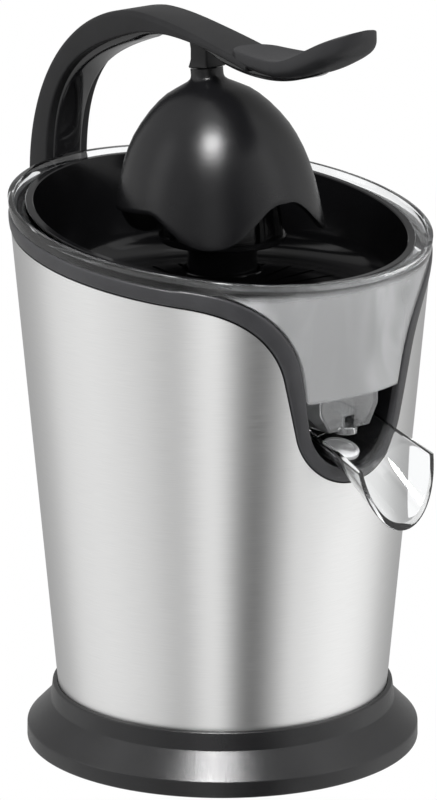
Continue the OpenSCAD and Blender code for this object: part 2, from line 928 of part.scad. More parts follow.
module juice_collector()
    color("#dfe6ea", 0.45)
        difference() {
            union() {
                difference() {
                    union() {
                        collector_body(0, collector_z, 0, apron_inset);
                        difference() {
                            clip_under(0) cone_band(0, -collector_inset - band_t, 200, cone_top);
                            under_rim(trim_top);
                        }
                    }
                    difference() {
                        collector_body(band_t, collector_z + floor_thick, band_t, apron_inset + band_t);
                        rod(chimney_r, collector_z, chimney_z);
                    }
                    rim_hollow();
                }
                outlet_box();
                spout_lugs();
            }
            rod(chimney_r - 2, collector_z - 1, chimney_z + 1);
            translate([0, nozzle_y, 0]) rod(nozzle_r - 1.5, 150, collector_z + 3);
            outlet_form(2, outlet_z + 1.6, collector_z + floor_thick + 1);
        }

// The rim's sloping inner face and the seat for the strainer
module rim_hollow() {
    clip_under(-1)
        difference() {
            cone_solid(-band_t, 200, cone_top);
            under_rim(strainer_seat);
        }
    clip_under(0)
        cone_solid(-collector_inset - band_t + 0.4, 215, cone_top);
}

// Hopper with sloping sides, in the space the spout leaves when folded up
module outlet_form(in, z0, z1)
    translate([0, -66 - in, 0]) rotate([90, 0, 0])
        linear_extrude(height = -outlet_y - 66 - 2 * in)
            polygon([
                [-outlet_top_x + in, z1], [-outlet_top_x + in, outlet_shoulder_z],
                [-outlet_x + in, z0], [outlet_x - in, z0],
                [outlet_top_x - in, outlet_shoulder_z], [outlet_top_x - in, z1]
            ]);

module outlet_box() {
    outlet_form(0, outlet_z, collector_z + 1);
    translate([0, nozzle_y, 0]) rod(nozzle_r, outlet_z - 1.7, outlet_z + 1);
}

// Lugs under the floor with the stubs that the spout turns on
module spout_lugs()
    for (s = [-1, 1]) {
        x0 = s > 0 ? lug_x[0] : -lug_x[1];
        slab(x0, x0 + lug_x[1] - lug_x[0], spout_pivot[0] - 2.6, spout_pivot[0] + 4,
             spout_pivot[1] - 4, collector_z + 1);
        translate([s * lug_x[0], spout_pivot[0], spout_pivot[1]])
            rotate([0, s * 90, 0])
                cylinder(h = pin_reach - lug_x[0], r = spout_pin_r);
    }

strainer_t = 1.8;
strainer_rim_drop = 1.4;
strainer_seat = ledge_drop - 1.4;
collar_r = skirt_r + 3;

module strainer()
    color("#0f0f11")
        difference() {
            union() {
                difference() {
                    clip_under(strainer_rim_drop) strainer_form(0);
                    strainer_form(strainer_t);
                }
                strainer_rim();
                tube(collar_r, collar_r - strainer_t, strainer_z, skirt_z + 8);
            }
            rod(collar_r - strainer_t, strainer_z - 1, strainer_z + 10);
            for (i = [0:slot_count - 1])
                rotate((i + 0.5) * 360 / slot_count)
                    slab(28, 62, -slot_w / 2, slot_w / 2, strainer_z - 1, strainer_z + 5);
        }

// Bowl form: flat floor, rounded corner, wall along the housing's cone
module strainer_form(in) {
    corner = 12;
    wall = strainer_inset + in;
    floor_h = strainer_z + in;
    mid = floor_h + corner;
    rotate_extrude()
        polygon(concat(
            [[0, floor_h], [cone_r(mid) - wall - corner, floor_h]],
            [for (a = [-75:15:0]) [cone_r(mid) - wall - corner + corner * cos(a), mid + corner * sin(a)]],
            [[cone_r(cone_top) - wall, cone_top], [0, cone_top]]));
}

module strainer_rim()
    difference() {
        clip_under(strainer_rim_drop)
            cone_band(-collector_inset - 0.4, -strainer_inset - 1.5, 215, cone_top);
        under_rim(strainer_seat - 0.2);
    }

// ---- Spout ---------------------------------------------------------------

spout_axis_z = open_z - 1.4;
edge_drop = 8.6;
stopper_pos = [-75, 150.2];
// The second pipe leaves the first one's underside just outside the trim
knee_y = spout_bend_y - 2;
knee_z = spout_axis_z - 2 * tan(spout_tilt) + spout_r / cos(spout_fall) - spout_r / cos(spout_tilt);

module slope_pipe(r, slope, y, z, back, out)
    translate([0, y, z])
        rotate([90 + slope, 0, 0])
            translate([0, 0, -back]) cylinder(h = back + out, r = r);

module spout_form(r) {
    slope_pipe(r, spout_tilt, spout_bend_y, spout_axis_z, 40, 40);
    slope_pipe(r, spout_fall, knee_y, knee_z, 12, 50);
}

// Half space above the spout's upper edges
module above_spout()
    translate([0, spout_bend_y, spout_axis_z - edge_drop])
        rotate([spout_tilt, 0, 0])
            translate([-far, -far, 0]) cube([2 * far, 2 * far, far]);

module at_stopper()
    translate([0, stopper_pos[0], stopper_pos[1]])
        rotate([spout_tilt, 0, 0]) children();

module spout_channel()
    color("#dfe6ea", 0.45)
        difference() {
            union() {
                difference() {
                    spout_form(spout_r);
                    spout_form(spout_r - spout_t);
                    slab(-far, far, spout_pivot[0] - 4, far, 0, far * 2);
                }
                intersection() {
                    spout_form(spout_r);
                    at_stopper() rod(stopper_r + 1, -8, -2);
                }
                for (s = [-1, 1])
                    translate([s > 0 ? lug_x[1] + 0.5 : -lug_x[1] - 2.9,
                               spout_pivot[0], spout_pivot[1]])
                        rotate([0, 90, 0]) cylinder(h = 2.4, r = 5.5);
            }
            difference() {
                above_spout();
                for (s = [-1, 1])
                    cross_rod(5.5, 60, spout_pivot[0], spout_pivot[1]);
            }
            translate([0, spout_tip_y, spout_axis_z - edge_drop + (spout_tip_y - spout_bend_y) * tan(spout_tilt)])
                rotate([-spout_end_tilt, 0, 0])
                    translate([-far, -far, -far]) cube([2 * far, far, 2 * far]);
            at_stopper() rod(stopper_r, -2, 6);
            cross_rod(spout_pin_r + 0.1, 80, spout_pivot[0], spout_pivot[1]);
        }

module spout_stopper()
    color("#b9bcbe")
        at_stopper() rod(stopper_r, -2, 0);

// ---- Hinge ---------------------------------------------------------------

bracket_z = [199, 238];
cheek_r = 9;
cheek_gap = 0.3;

module hinge_bracket()
    color("#1d1d1f")
        difference() {
            union() {
                slab(-arm_w / 2, arm_w / 2, 80, hinge_pos[0] - 11, bracket_z[0], bracket_z[1]);
                difference() {
                    union() {
                        cross_rod(cheek_r, arm_w, hinge_pos[0], hinge_pos[1]);
                        slab(-arm_w / 2, arm_w / 2, 90, hinge_pos[0],
                             hinge_pos[1] - cheek_r, hinge_pos[1] + cheek_r);
                    }
                    slab(-knuckle_w / 2 - cheek_gap, knuckle_w / 2 + cheek_gap,
                         hinge_pos[0] - 11, 150, 180, 260);
                }
            }
            cone_solid(0, 180, 250);
            cross_rod(hinge_pin_r, 60, hinge_pos[0], hinge_pos[1]);
            for (z = bracket_screw_z)
                translate([0, 60, z]) rotate([-90, 0, 0]) {
                    cylinder(h = 60, r = screw_core + 0.3);
                    translate([0, 0, hinge_pos[0] - 11 - 60 - 1.6]) cylinder(h = 20, r = screw_head_r + 0.3);
                }
        }

module hinge_pin()
    color("silver")
        cross_rod(hinge_pin_r, arm_w, hinge_pos[0], hinge_pos[1]);

module hinge_screws()
    color("silver")
        for (z = bracket_screw_z)
            translate([0, hinge_pos[0] - 11 - 1.6, z]) rotate([90, 0, 0]) {
                cylinder(h = 8, r = screw_core);
                translate([0, 0, -1.5]) cylinder(h = 1.5, r = screw_head_r);
            }

// ---- Handle --------------------------------------------------------------

arm_foot_z = 241;
arm_end_y = -28;
arm_outer = [[117.5, arm_foot_z], [117.5, 290], [86, 322], [48, 325.2]];
arm_crest = [[48, 325.2], [30, 325.6], [8, 320.5], [arm_end_y, 312.5]];
arm_inner = [[104.3, arm_foot_z], [105.4, 289], [86, 303.5], [48, 314.6]];
arm_under = [[48, 314.6], [36, 318.6], [14, 320.5], [arm_end_y, 308.8]];
liner_w = 17;
curve_n = 12;

module arm_profile()
    polygon(concat(
        bezier(arm_outer, curve_n), bezier(arm_crest, curve_n),
        reversed(bezier(arm_under, curve_n)), reversed(bezier(arm_inner, curve_n))));

// Knuckle that turns between the bracket's cheeks
module knuckle_profile() {
    translate(hinge_pos) circle(r = knuckle_r);
    translate([arm_inner[0][0], hinge_pos[1]])
        square([hinge_pos[0] + knuckle_r - arm_inner[0][0], arm_foot_z - hinge_pos[1] + 1]);
}

// Path moved sideways by d, to the right of its direction of travel
function offset_path(p, d) = [for (i = [0:len(p) - 1])
    let (a = p[max(i - 1, 0)], b = p[min(i + 1, len(p) - 1)], t = (b - a) / norm(b - a))
    p[i] + d * [-t[1], t[0]]];

// The liner's two faces in side view: the shown one and the one in the arm
liner_low = concat(
    bezier([[102.6, arm_foot_z], [103.4, 286.5], [84, 299.5], [48, 311]], curve_n),
    [for (p = bezier([[48, 311], [34, 318.5], [12, 317], [-8, 308.4]], 9)) if (p[0] < 47.9) p],
    [for (p = bezier([[-8, 308.4], [-26, 303.6], [-50, 303.4], [-66, 313.2]], 9)) if (p[0] < -8.1) p]);
liner_high = concat(
    offset_path(bezier(arm_inner, curve_n), -2.3),
    [for (p = offset_path(bezier(arm_under, curve_n), -1.5)) if (p[0] < 44) p],
    bezier([[-31, 310.6], [-42, 309.5], [-56, 311.5], [-66, 315]], 6));

module liner_profile(grow)
    polygon(concat(offset_path(liner_low, grow), reversed(offset_path(liner_high, -grow))));

module handle_arm()
    color("#242426")
        difference() {
            union() {
                side_plate(arm_w) arm_profile();
                side_plate(knuckle_w) knuckle_profile();
            }
            side_plate(liner_w + 0.4) liner_profile(0.2);
            cross_rod(hinge_pin_r + run_gap, 60, hinge_pos[0], hinge_pos[1]);
            dowel_shapes(dowel_r);
        }

module handle_liner()
    color("#0c0c0e")
        difference() {
            side_plate(liner_w) liner_profile(0);
            dowel_shapes(dowel_r);
            slab(-post_w / 2, post_w / 2, post_y - post_w / 2, post_y + post_w / 2,
                 post_z[0] - 10, post_z[1] + 20);
        }

// Hidden dowels between liner and arm: back, up and tilt of each
dowel_pos = [[99.4, 270.6, -75], [89.3, 290.9, -50.4]];
dowel_r = 1.5;
dowel_len = 7;

module dowel_shapes(r)
    for (d = dowel_pos)
        translate([0, d[0], d[1]]) rotate([d[2], 0, 0])
            translate([0, 0, 1.2]) cylinder(h = dowel_len, r = r);

module handle_dowels()
    color("silver")
        dowel_shapes(dowel_r);

grip_top = concat(
    bezier([[-8, 316.8], [-22, 317.4], [-36, 315.6], [-48, 317]], 8),
    bezier([[-48, 317], [-58, 318.4], [-68, 326], [-83, 331.8]], 8),
    [[-92, 334.6]]);
grip_low = concat(
    bezier([[-8, 310], [-22, 310.4], [-36, 307.6], [-48, 308.4]], 8),
    bezier([[-48, 308.4], [-60, 309.4], [-70, 314], [-83, 322]], 8),
    [[-92, 327.5]]);
grip_end_y = -73;
grip_side_t = 5.4;
grip_rise = atan(0.58);
grip_flank = 36;

// Outline of the grip seen from above
module grip_plan()
    union() {
        translate([0, grip_end_y]) circle(r = grip_half_w);
        translate([-grip_half_w, grip_end_y]) square([2 * grip_half_w, -45 - grip_end_y]);
        polygon([[-grip_half_w, -45], [grip_half_w, -45], [arm_w / 2, -25], [-arm_w / 2, -25]]);
        translate([0, -25]) circle(r = arm_w / 2 - 0.05);
    }

// Slopes the underside up towards one side edge
module grip_flank_cut(s)
    translate([s * grip_half_w, -72, 325.2 - grip_side_t])
        rotate([-grip_rise, 0, 0])
            rotate([0, -s * grip_flank, 0])
                translate([s > 0 ? -16.5 : -far, -30, -far]) cube([far + 16.5, 75, far]);

module grip_pad()
    color("#2d2d30")
        difference() {
            intersection() {
                side_plate(2 * grip_half_w + 2)
                    polygon(concat(grip_top, reversed(grip_low)));
                translate([0, 0, 290]) linear_extrude(height = 60) grip_plan();
            }
            for (s = [-1, 1]) grip_flank_cut(s);
            side_plate(arm_w + 0.4) arm_profile();
            side_plate(liner_w + 0.4) liner_profile(0.2);
            slab(-far, far, arm_end_y, 10, 290, arm_crest[3][1] - 0.5);
        }

// ---- Post and dome -------------------------------------------------------

post_y = 10;
post_z = [305.4, 318.4];
dome_pivot = [10, 309];
dome_pin_r = 1.6;
bush_t = 1.2;
tongue_w = 5;
tongue_r = 3.9;
apex = [10.2, 303.7];

module stem_post()
    color("#1e1e20")
        difference() {
            slab(-post_w / 2, post_w / 2, post_y - post_w / 2, post_y + post_w / 2,
                 post_z[0], post_z[1]);
            side_plate(arm_w) arm_profile();
            slab(-tongue_w / 2 - 0.3, tongue_w / 2 + 0.3, post_y - 4.4, post_y + 4.4,
                 post_z[0] - 1, dome_pivot[1] + tongue_r + 0.5);
            cross_rod(dome_pin_r, 30, dome_pivot[0], dome_pivot[1]);
        }

module dome_pin()
    color("silver")
        cross_rod(dome_pin_r, post_w, dome_pivot[0], dome_pivot[1]);

module tilt_bush()
    color("#7a7a7c")
        difference() {
            cross_rod(dome_pin_r + bush_t, tongue_w, dome_pivot[0], dome_pivot[1]);
            cross_rod(dome_pin_r + run_gap, 30, dome_pivot[0], dome_pivot[1]);
        }

dome_flare = bezier([[7.2, -3.4], [7.6, -8], [14, -8], [18.3, -10.2]], 5);
dome_crown = bezier([[18.3, -10.2], [26.5, -14.7], [35.8, -26.5], [40, -40]], 8);
dome_side = bezier([[40, -40], [42.3, -49], [44.8, -62], [dome_r, -75.5]], 6);
inner_crown = bezier([[0, -9], [22, -10], [34, -26.5], [40 - dome_t, -40]], 10);
inner_side = bezier([[40 - dome_t, -40], [42.3 - dome_t, -49],
                     [44.8 - dome_t, -62], [dome_r - dome_t, -75.5]], 6);
wave_z = -66;

module press_dome()
    color("#202022")
        difference() {
            union() {
                at_apex() dome_shell();
                cross_rod(tongue_r, tongue_w, dome_pivot[0], dome_pivot[1]);
                slab(-tongue_w / 2, tongue_w / 2, dome_pivot[0] - tongue_r, dome_pivot[0] + tongue_r,
                     apex[1] - 4, dome_pivot[1]);
            }
            cross_rod(dome_pin_r + bush_t, 30, dome_pivot[0], dome_pivot[1]);
        }

module at_apex()
    translate([0, apex[0], apex[1]]) rotate([-dome_lean, 0, 0]) children();

module dome_shell()
    difference() {
        rotate_extrude()
            polygon(concat([[0, 0], [7.2, 0]], dome_flare, dome_crown, dome_side,
                           reversed(inner_side), reversed(inner_crown)));
        wave_cut(33, 3);
        for (s = [-1, 1]) rotate(s * 112.5) wave_cut(43, 21);
    }

// Material cut away between two lobes of the lower edge, level in its middle
module wave_cut(half, level)
    rotate([90, 0, 0])
        linear_extrude(height = 60)
            polygon(concat(
                [for (i = [-12:12])
                    let (x = i * half / 12, t = max(abs(x) - level, 0) / (half - level))
                        [x, wave_z + dome_wave * cos(180 * t)]],
                [[half, -100], [-half, -100]]));

base_ring();
base_plate();
foot_ring();
base_screws();
steel_shell();
trim_bezel();
inner_tub();
cord_gland();
gearbox_housing();
gearbox_cover();
gearbox_screws();
idler_pin();
motor_stator();
motor_windings();
motor_cap_lower();
motor_cap_upper();
motor_screws();
microswitch();
switch_lever();
shaft_bush();
lip_seal();
return_spring();
thrust_pin();
drive_shaft();
output_gear();
idler_gear();
motor_pinion();
motor_shaft();
motor_rotor();
cooling_fan();
juice_collector();
strainer();
reamer_cone();
spout_channel();
spout_stopper();
hinge_bracket();
hinge_pin();
hinge_screws();
handle_arm();
handle_liner();
handle_dowels();
grip_pad();
stem_post();
dome_pin();
tilt_bush();
press_dome();
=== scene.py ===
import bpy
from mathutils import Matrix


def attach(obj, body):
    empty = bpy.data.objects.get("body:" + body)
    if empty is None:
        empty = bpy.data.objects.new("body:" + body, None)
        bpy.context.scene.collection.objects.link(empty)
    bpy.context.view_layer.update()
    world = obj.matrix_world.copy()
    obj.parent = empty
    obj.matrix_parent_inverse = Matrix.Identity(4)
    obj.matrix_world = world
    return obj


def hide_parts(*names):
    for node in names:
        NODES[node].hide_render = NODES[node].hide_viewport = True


bl_info = {
    "name": "Lever citrus press",
    "version": (1, 0, 0),
    "blender": (4, 5, 0),
    "location": "3D Viewport > Sidebar > Press",
    "description": "Dresses the packed citrus press with finished surfaces, a stage and a camera",
    "category": "Add Mesh",
}

from math import (
    asin, atan, atan2, copysign, cos, degrees, hypot, pi, radians, remainder, sin, sqrt, tan, tau,
)

import bmesh
import bpy
from bpy.props import FloatProperty, FloatVectorProperty, IntProperty, PointerProperty
from bpy.types import NodeSocket, Operator, Panel, PropertyGroup, Scene
from mathutils import Matrix, Vector

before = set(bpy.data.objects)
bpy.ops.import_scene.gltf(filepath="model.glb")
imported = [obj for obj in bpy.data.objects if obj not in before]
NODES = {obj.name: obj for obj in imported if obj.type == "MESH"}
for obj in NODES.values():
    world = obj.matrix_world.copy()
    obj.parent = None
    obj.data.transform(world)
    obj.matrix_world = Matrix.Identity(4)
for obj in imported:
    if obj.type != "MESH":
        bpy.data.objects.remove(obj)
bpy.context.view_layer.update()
MM = 0.001

CAMERA_AZIMUTH = -42.5            # degrees from the front

# Places and sizes that pieces share, in millimetres from the middle of the floor.
TRIM_DROP = 13.5                  # from the rim plane down to the trim's lower edge
TRIM_WIDTH = 6.5                  # around the opening
TRIM_RISE = 8.0                   # along the rim
SHELL_FOOT = 19.1
SHELL_WALL = 1.0
SCREW_CIRCLE = 74
ABOVE_RIM = 262                   # clear of the rim on every side
OUTLET = (0, -78.5)
HOPPER_KNEE = 168
SPOUT_AXIS = (0, -57, 164)
SPOUT_TILT = radians(18.2)
STOPPER = (0, -75)
DOME_TOP = (0, 10.2, 303.7)
POST_Y = 10
HINGE = (107, 228)


# ---------------------------------------------------------------- settings


def length(name, text, default, low, high):
    """A length in metres that a user may change."""
    return FloatProperty(
        name=name, description=text, default=default, min=low, max=high,
        precision=4, unit="LENGTH", subtype="DISTANCE",
    )


def ratio(name, text, default, low, high):
    """A slope that a user may change."""
    return FloatProperty(name=name, description=text, default=default, min=low, max=high)


def colour(name, text, rgb):
    """A linear colour that a user may change."""
    return FloatVectorProperty(
        name=name, description=text, default=rgb, min=0.0, max=1.0, size=3, subtype="COLOR"
    )


class PressHousingSettings(PropertyGroup):
    foot_radius: length("Radius at the floor", "Shell radius carried down to the floor", 0.0716, 0.07, 0.073)
    growth: ratio("Growth", "Radius gained for each unit of height", 0.089, 0.08, 0.1)
    rim_height: length("Rim height", "Height of the rim plane on the axis", 0.2405, 0.239, 0.242)
    rim_slope: ratio("Rim slope", "Rise of the rim plane towards the rear", 0.14, 0.1, 0.17)
    opening_radius: length("Opening radius", "Radius of the opening's round bottom", 0.032, 0.031, 0.033)
    opening_height: length("Opening height", "Height of that arc's centre", 0.168, 0.167, 0.169)
    shoulder_radius: length("Shoulder radius", "Radius of the sweep into the rim", 0.045, 0.044, 0.046)
    shoulder_x: length("Shoulder place", "Shoulder centre, sideways", 0.0813, 0.08, 0.083)
    shoulder_z: length("Shoulder height", "Shoulder centre, up", 0.1751, 0.174, 0.177)
    join_x: length("Join", "Half width where the opening meets the rim", 0.074, 0.072, 0.076)
    trim_gap: length("Trim gap", "Shadow line on each side of the trim", 0.00045, 0.0, 0.001)
    steel: colour("Steel", "Brushed steel", (0.74, 0.74, 0.735))
    trim: colour("Trim", "Trim plastic", (0.022, 0.022, 0.024))


class PressHandleSettings(PropertyGroup):
    arm_width: length("Arm width", "Width of the arm", 0.025, 0.023, 0.027)
    liner_width: length("Liner width", "Width of the glossy liner", 0.017, 0.015, 0.019)
    grip_half_width: length("Grip half width", "Half width of the grip at its widest", 0.0155, 0.013, 0.017)
    grip_dish: length("Grip dish", "Depth of the hollow in the grip's top", 0.0012, 0.0, 0.002)
    post_width: length("Post width", "Side of the square post", 0.0105, 0.009, 0.012)
    black: colour("Black", "Satin black plastic", (0.008, 0.008, 0.0085))
    grip: colour("Grip", "Soft grip", (0.012, 0.012, 0.013))


class PressDomeSettings(PropertyGroup):
    wall: length("Wall", "Thickness of the dome", 0.0026, 0.002, 0.003)
    wave_depth: length("Wave depth", "Half height of the waves of the lower edge", 0.008, 0.004, 0.01)
    lean: FloatProperty(
        name="Lean", description="Lean of the dome from upright", default=radians(6.7), subtype="ANGLE"
    )
    ribs: IntProperty(name="Ribs", description="Ribs of the reamer", default=10, min=6, max=14)
    black: colour("Black", "Satin black plastic", (0.004, 0.004, 0.0045))


class PressClearSettings(PropertyGroup):
    wall: length("Wall", "Thickness of the clear walls", 0.0022, 0.0018, 0.0026)
    spout_radius: length("Spout radius", "Outer radius of the half-pipe", 0.0225, 0.021, 0.024)
    edge_rounding: length("Edge rounding", "Rounding of the clear edges", 0.0006, 0.0002, 0.001)
    tint: colour("Tint", "Clear plastic", (0.96, 0.97, 0.975))
    haze: colour("Haze", "Scatter inside the apron", (0.44, 0.445, 0.45))


# The settings of the scene in use.


def housing():
    return bpy.context.scene.press_housing


def handle():
    return bpy.context.scene.press_handle


def dome():
    return bpy.context.scene.press_dome


def clear():
    return bpy.context.scene.press_clear


# ---------------------------------------------------------------- mesh tools


def mesh_object(name, verts, faces):
    """A closed mesh in millimetres becomes an object in metres, facing outwards."""
    mesh = bpy.data.meshes.new(name)
    mesh.from_pydata([Vector(v) * MM for v in verts], [], faces)
    obj = show(name, mesh)
    settle(obj)
    return obj


def show(name, data):
    """A new object in the scene for its mesh, lamp or camera."""
    obj = bpy.data.objects.new(name, data)
    bpy.context.scene.collection.objects.link(obj)
    return obj


def settle(obj):
    """Welds doubles and turns every face outwards."""
    bm = bmesh.new()
    bm.from_mesh(obj.data)
    bmesh.ops.remove_doubles(bm, verts=bm.verts, dist=2e-6)
    bmesh.ops.dissolve_degenerate(bm, edges=bm.edges, dist=1e-7)
    bmesh.ops.delete(bm, geom=[e for e in bm.edges if not e.link_faces], context="EDGES")
    bmesh.ops.recalc_face_normals(bm, faces=bm.faces)
    bm.to_mesh(obj.data)
    bm.free()


def smooth(obj, angle):
    """Smooth shading with sharp edges where faces meet at more than the angle."""
    obj.data.polygons.foreach_set("use_smooth", [True] * len(obj.data.polygons))
    obj.data.set_sharp_from_angle(angle=radians(angle))


def bake_modifiers(obj):
    """Applies every modifier to the object's mesh."""
    graph = bpy.context.evaluated_depsgraph_get()
    done = bpy.data.meshes.new_from_object(obj.evaluated_get(graph))
    obj.modifiers.clear()
    obj.data = done


def bevel(obj, width, segments=2, angle=35):
    """Rounds the object's sharp edges."""
    mod = obj.modifiers.new("Rounding", "BEVEL")
    mod.width = width
    mod.segments = segments
    mod.limit_method = "ANGLE"
    mod.angle_limit = radians(angle)
    bake_modifiers(obj)


def loft(name, rings, around=False):
    """Joins equal rings of points into a closed skin, with caps unless it runs around."""
    count, total = len(rings[0]), len(rings)
    verts = [p for ring in rings for p in ring]
    faces = []
    for i in range(total if around else total - 1):
        a, b = i * count, (i + 1) % total * count
        for j in range(count):
            k = (j + 1) % count
            faces.append((a + j, a + k, b + k, b + j))
    if not around:
        faces.append(tuple(reversed(range(count))))
        faces.append(tuple(range((total - 1) * count, total * count)))
    return mesh_object(name, verts, faces)


def turned(name, steps, ring):
    """Skin that runs around the vertical axis; ring gives its points at an angle."""
    return loft(name, [ring(tau * i / steps) for i in range(steps)], around=True)


def lathe(name, profile, steps=192, centre=(0, 0)):
    """Turns a closed profile of radius and height about the vertical axis."""
    x, y = centre
    return turned(name, steps, lambda a: [(x + r * cos(a), y + r * sin(a), z) for r, z in profile])


def tube(name, bore, radius, low, high, steps=96, centre=(0, 0)):
    """Upright tube, or a rod where the bore is nought."""
    return lathe(name, [(bore, low), (radius, low), (radius, high), (bore, high)], steps, centre)


def move(obj, to, turn=0.0, axis="X"):
    """Turns a mesh about an axis through the origin, then shifts it, in millimetres."""
    obj.data.transform(Matrix.Translation([c * MM for c in to]) @ Matrix.Rotation(turn, 4, axis))
    return obj


def rounded(points, radii, steps=5):
    """Replaces each corner of a closed outline by an arc of its radius."""
    out = []
    for i, p in enumerate(points):
        r = radii[i] if isinstance(radii, list) else radii
        p = Vector(p)
        a, b = Vector(points[i - 1]) - p, Vector(points[(i + 1) % len(points)]) - p
        if r <= 0 or a.length < 1e-6 or b.length < 1e-6:
            out.append(p)
            continue
        half = a.angle(b) / 2
        back = min(r / tan(half), a.length * 0.49, b.length * 0.49)
        r = back * tan(half)
        centre = p + (a.normalized() + b.normalized()).normalized() * (r / sin(half))
        start, end = p + a.normalized() * back - centre, p + b.normalized() * back - centre
        turn = -start.angle_signed(end)
        for s in range(steps + 1):
            c, d = cos(turn * s / steps), sin(turn * s / steps)
            out.append(centre + Vector((start.x * c - start.y * d, start.x * d + start.y * c)))
    return [tuple(v) for v in out]


def cubic(t, points):
    """Point of a cubic curve."""
    s = 1 - t
    return tuple(
        s ** 3 * a + 3 * s * s * t * b + 3 * s * t * t * c + t ** 3 * d for a, b, c, d in zip(*points)
    )


def path(points, *steps):
    """Points of cubic curves that run on from each other."""
    out = [points[0]]
    for n, count in enumerate(steps):
        out += [cubic(i / count, points[3 * n:3 * n + 4]) for i in range(1, count + 1)]
    return out


def strip(name, first, second, outline):
    """Skin along two lines of the handle's side view.

    The outline gives each ring as sideways places and distances from the first line towards the second.
    """
    rings = []
    for n, (a, b) in enumerate(zip(first, second)):
        a, b = Vector(a), Vector(b)
        way = (b - a).normalized()
        rings.append([(x, *(a + way * v)) for x, v in outline(n, a, (b - a).length)])
    return loft(name, rings)


def block(name, low, high):
    """A box between two corners, in millimetres."""
    (x0, y0, z0), (x1, y1, z1) = low, high
    verts = [(x, y, z) for z in (z0, z1) for x, y in ((x0, y0), (x1, y0), (x1, y1), (x0, y1))]
    faces = [(0, 3, 2, 1), (4, 5, 6, 7), (0, 1, 5, 4), (1, 2, 6, 5), (2, 3, 7, 6), (3, 0, 4, 7)]
    return mesh_object(name, verts, faces)


def join(first, *others):
    """Puts the other objects' meshes into the first."""
    bm = bmesh.new()
    for o in (first, *others):
        bm.from_mesh(o.data)
    bm.to_mesh(first.data)
    bm.free()
    for o in others:
        bpy.data.objects.remove(o)
    return first


def carve(obj, tool, how="DIFFERENCE"):
    """Cuts, adds or keeps what the tool encloses, then removes the tool."""
    mod = obj.modifiers.new("Carve", "BOOLEAN")
    mod.operation = how
    mod.solver = "EXACT"
    mod.object = tool
    bake_modifiers(obj)
    bpy.data.objects.remove(tool)
    if not obj.data.polygons:
        raise RuntimeError(f"carving left nothing of {obj.name}")
    return obj


def fuse(obj, tool):
    """Adds the tool to the object."""
    return carve(obj, tool, "UNION")


def keep(obj, tool):
    """Keeps what lies inside the tool."""
    return carve(obj, tool, "INTERSECT")


# ---------------------------------------------------------------- node tools


def feed(socket, value):
    """Gives an input its value, or wires another node's output to it."""
    if isinstance(value, NodeSocket):
        socket.id_data.links.new(value, socket)
    else:
        socket.default_value = value


def node(tree, kind, *values, **named):
    """A new node: values go to its inputs in order, named ones to its settings or inputs."""
    made = tree.nodes.new(kind)
    for socket, value in zip(made.inputs, values):
        feed(socket, value)
    for key, value in named.items():
        if hasattr(made, key):
            setattr(made, key, value)
        else:
            feed(made.inputs[key.replace("_", " ")], value)
    return made


def maths(tree, operation, *values):
    """Result of a sum on numbers and other nodes' outputs."""
    return node(tree, "ShaderNodeMath", *values, operation=operation).outputs[0]


def remap(tree, value, source=(0, 1), target=(0, 1), how="LINEAR"):
    """A value's run between two limits, carried over to two others."""
    return node(tree, "ShaderNodeMapRange", value, *source, *target, interpolation_type=how).outputs[0]


def ramp(tree, value, stops, how="LINEAR"):
    """Colours between stops, each a place from 0 to 1 and a colour."""
    made = node(tree, "ShaderNodeValToRGB", value)
    made.color_ramp.interpolation = how
    elements = made.color_ramp.elements
    for element, (at, rgb) in zip(elements, (stops[0], stops[-1])):
        element.position = at
        element.color = (*rgb, 1)
    for at, rgb in stops[1:-1]:
        elements.new(at).color = (*rgb, 1)
    return made.outputs[0]


def mix_colour(tree, share, a, b, how="MIX"):
    """Two colours mixed; the node's colour inputs are its seventh and eighth."""
    mix = node(tree, "ShaderNodeMix", share, data_type="RGBA", blend_type=how)
    feed(mix.inputs[6], a)
    feed(mix.inputs[7], b)
    return mix.outputs[2]


def axes(tree, coords="Object"):
    """The three parts of a texture coordinate."""
    place_at = node(tree, "ShaderNodeTexCoord").outputs[coords]
    return node(tree, "ShaderNodeSeparateXYZ", place_at).outputs


def noise(tree, scale, detail, stretch=(1, 1, 1), **more):
    """Noise over the piece's own coordinates, in metres, closer along a stretched axis."""
    place_at = node(tree, "ShaderNodeTexCoord").outputs["Object"]
    grow = node(tree, "ShaderNodeMapping", Vector=place_at, Scale=stretch).outputs[0]
    return node(tree, "ShaderNodeTexNoise", Vector=grow, Scale=scale, Detail=detail, **more).outputs["Fac"]


def mix_shaders(tree, share, first, second):
    """Ends a material's tree in a mix of two shaders."""
    mix = node(tree, "ShaderNodeMixShader", share, first.outputs[0], second.outputs[0])
    feed(tree.nodes["Material Output"].inputs["Surface"], mix.outputs[0])


def seen_directly(tree):
    """1 for what the camera sees, also through clear plastic."""
    rays = node(tree, "ShaderNodeLightPath").outputs
    return maths(tree, "MAXIMUM", rays["Is Camera Ray"], rays["Is Transmission Ray"])


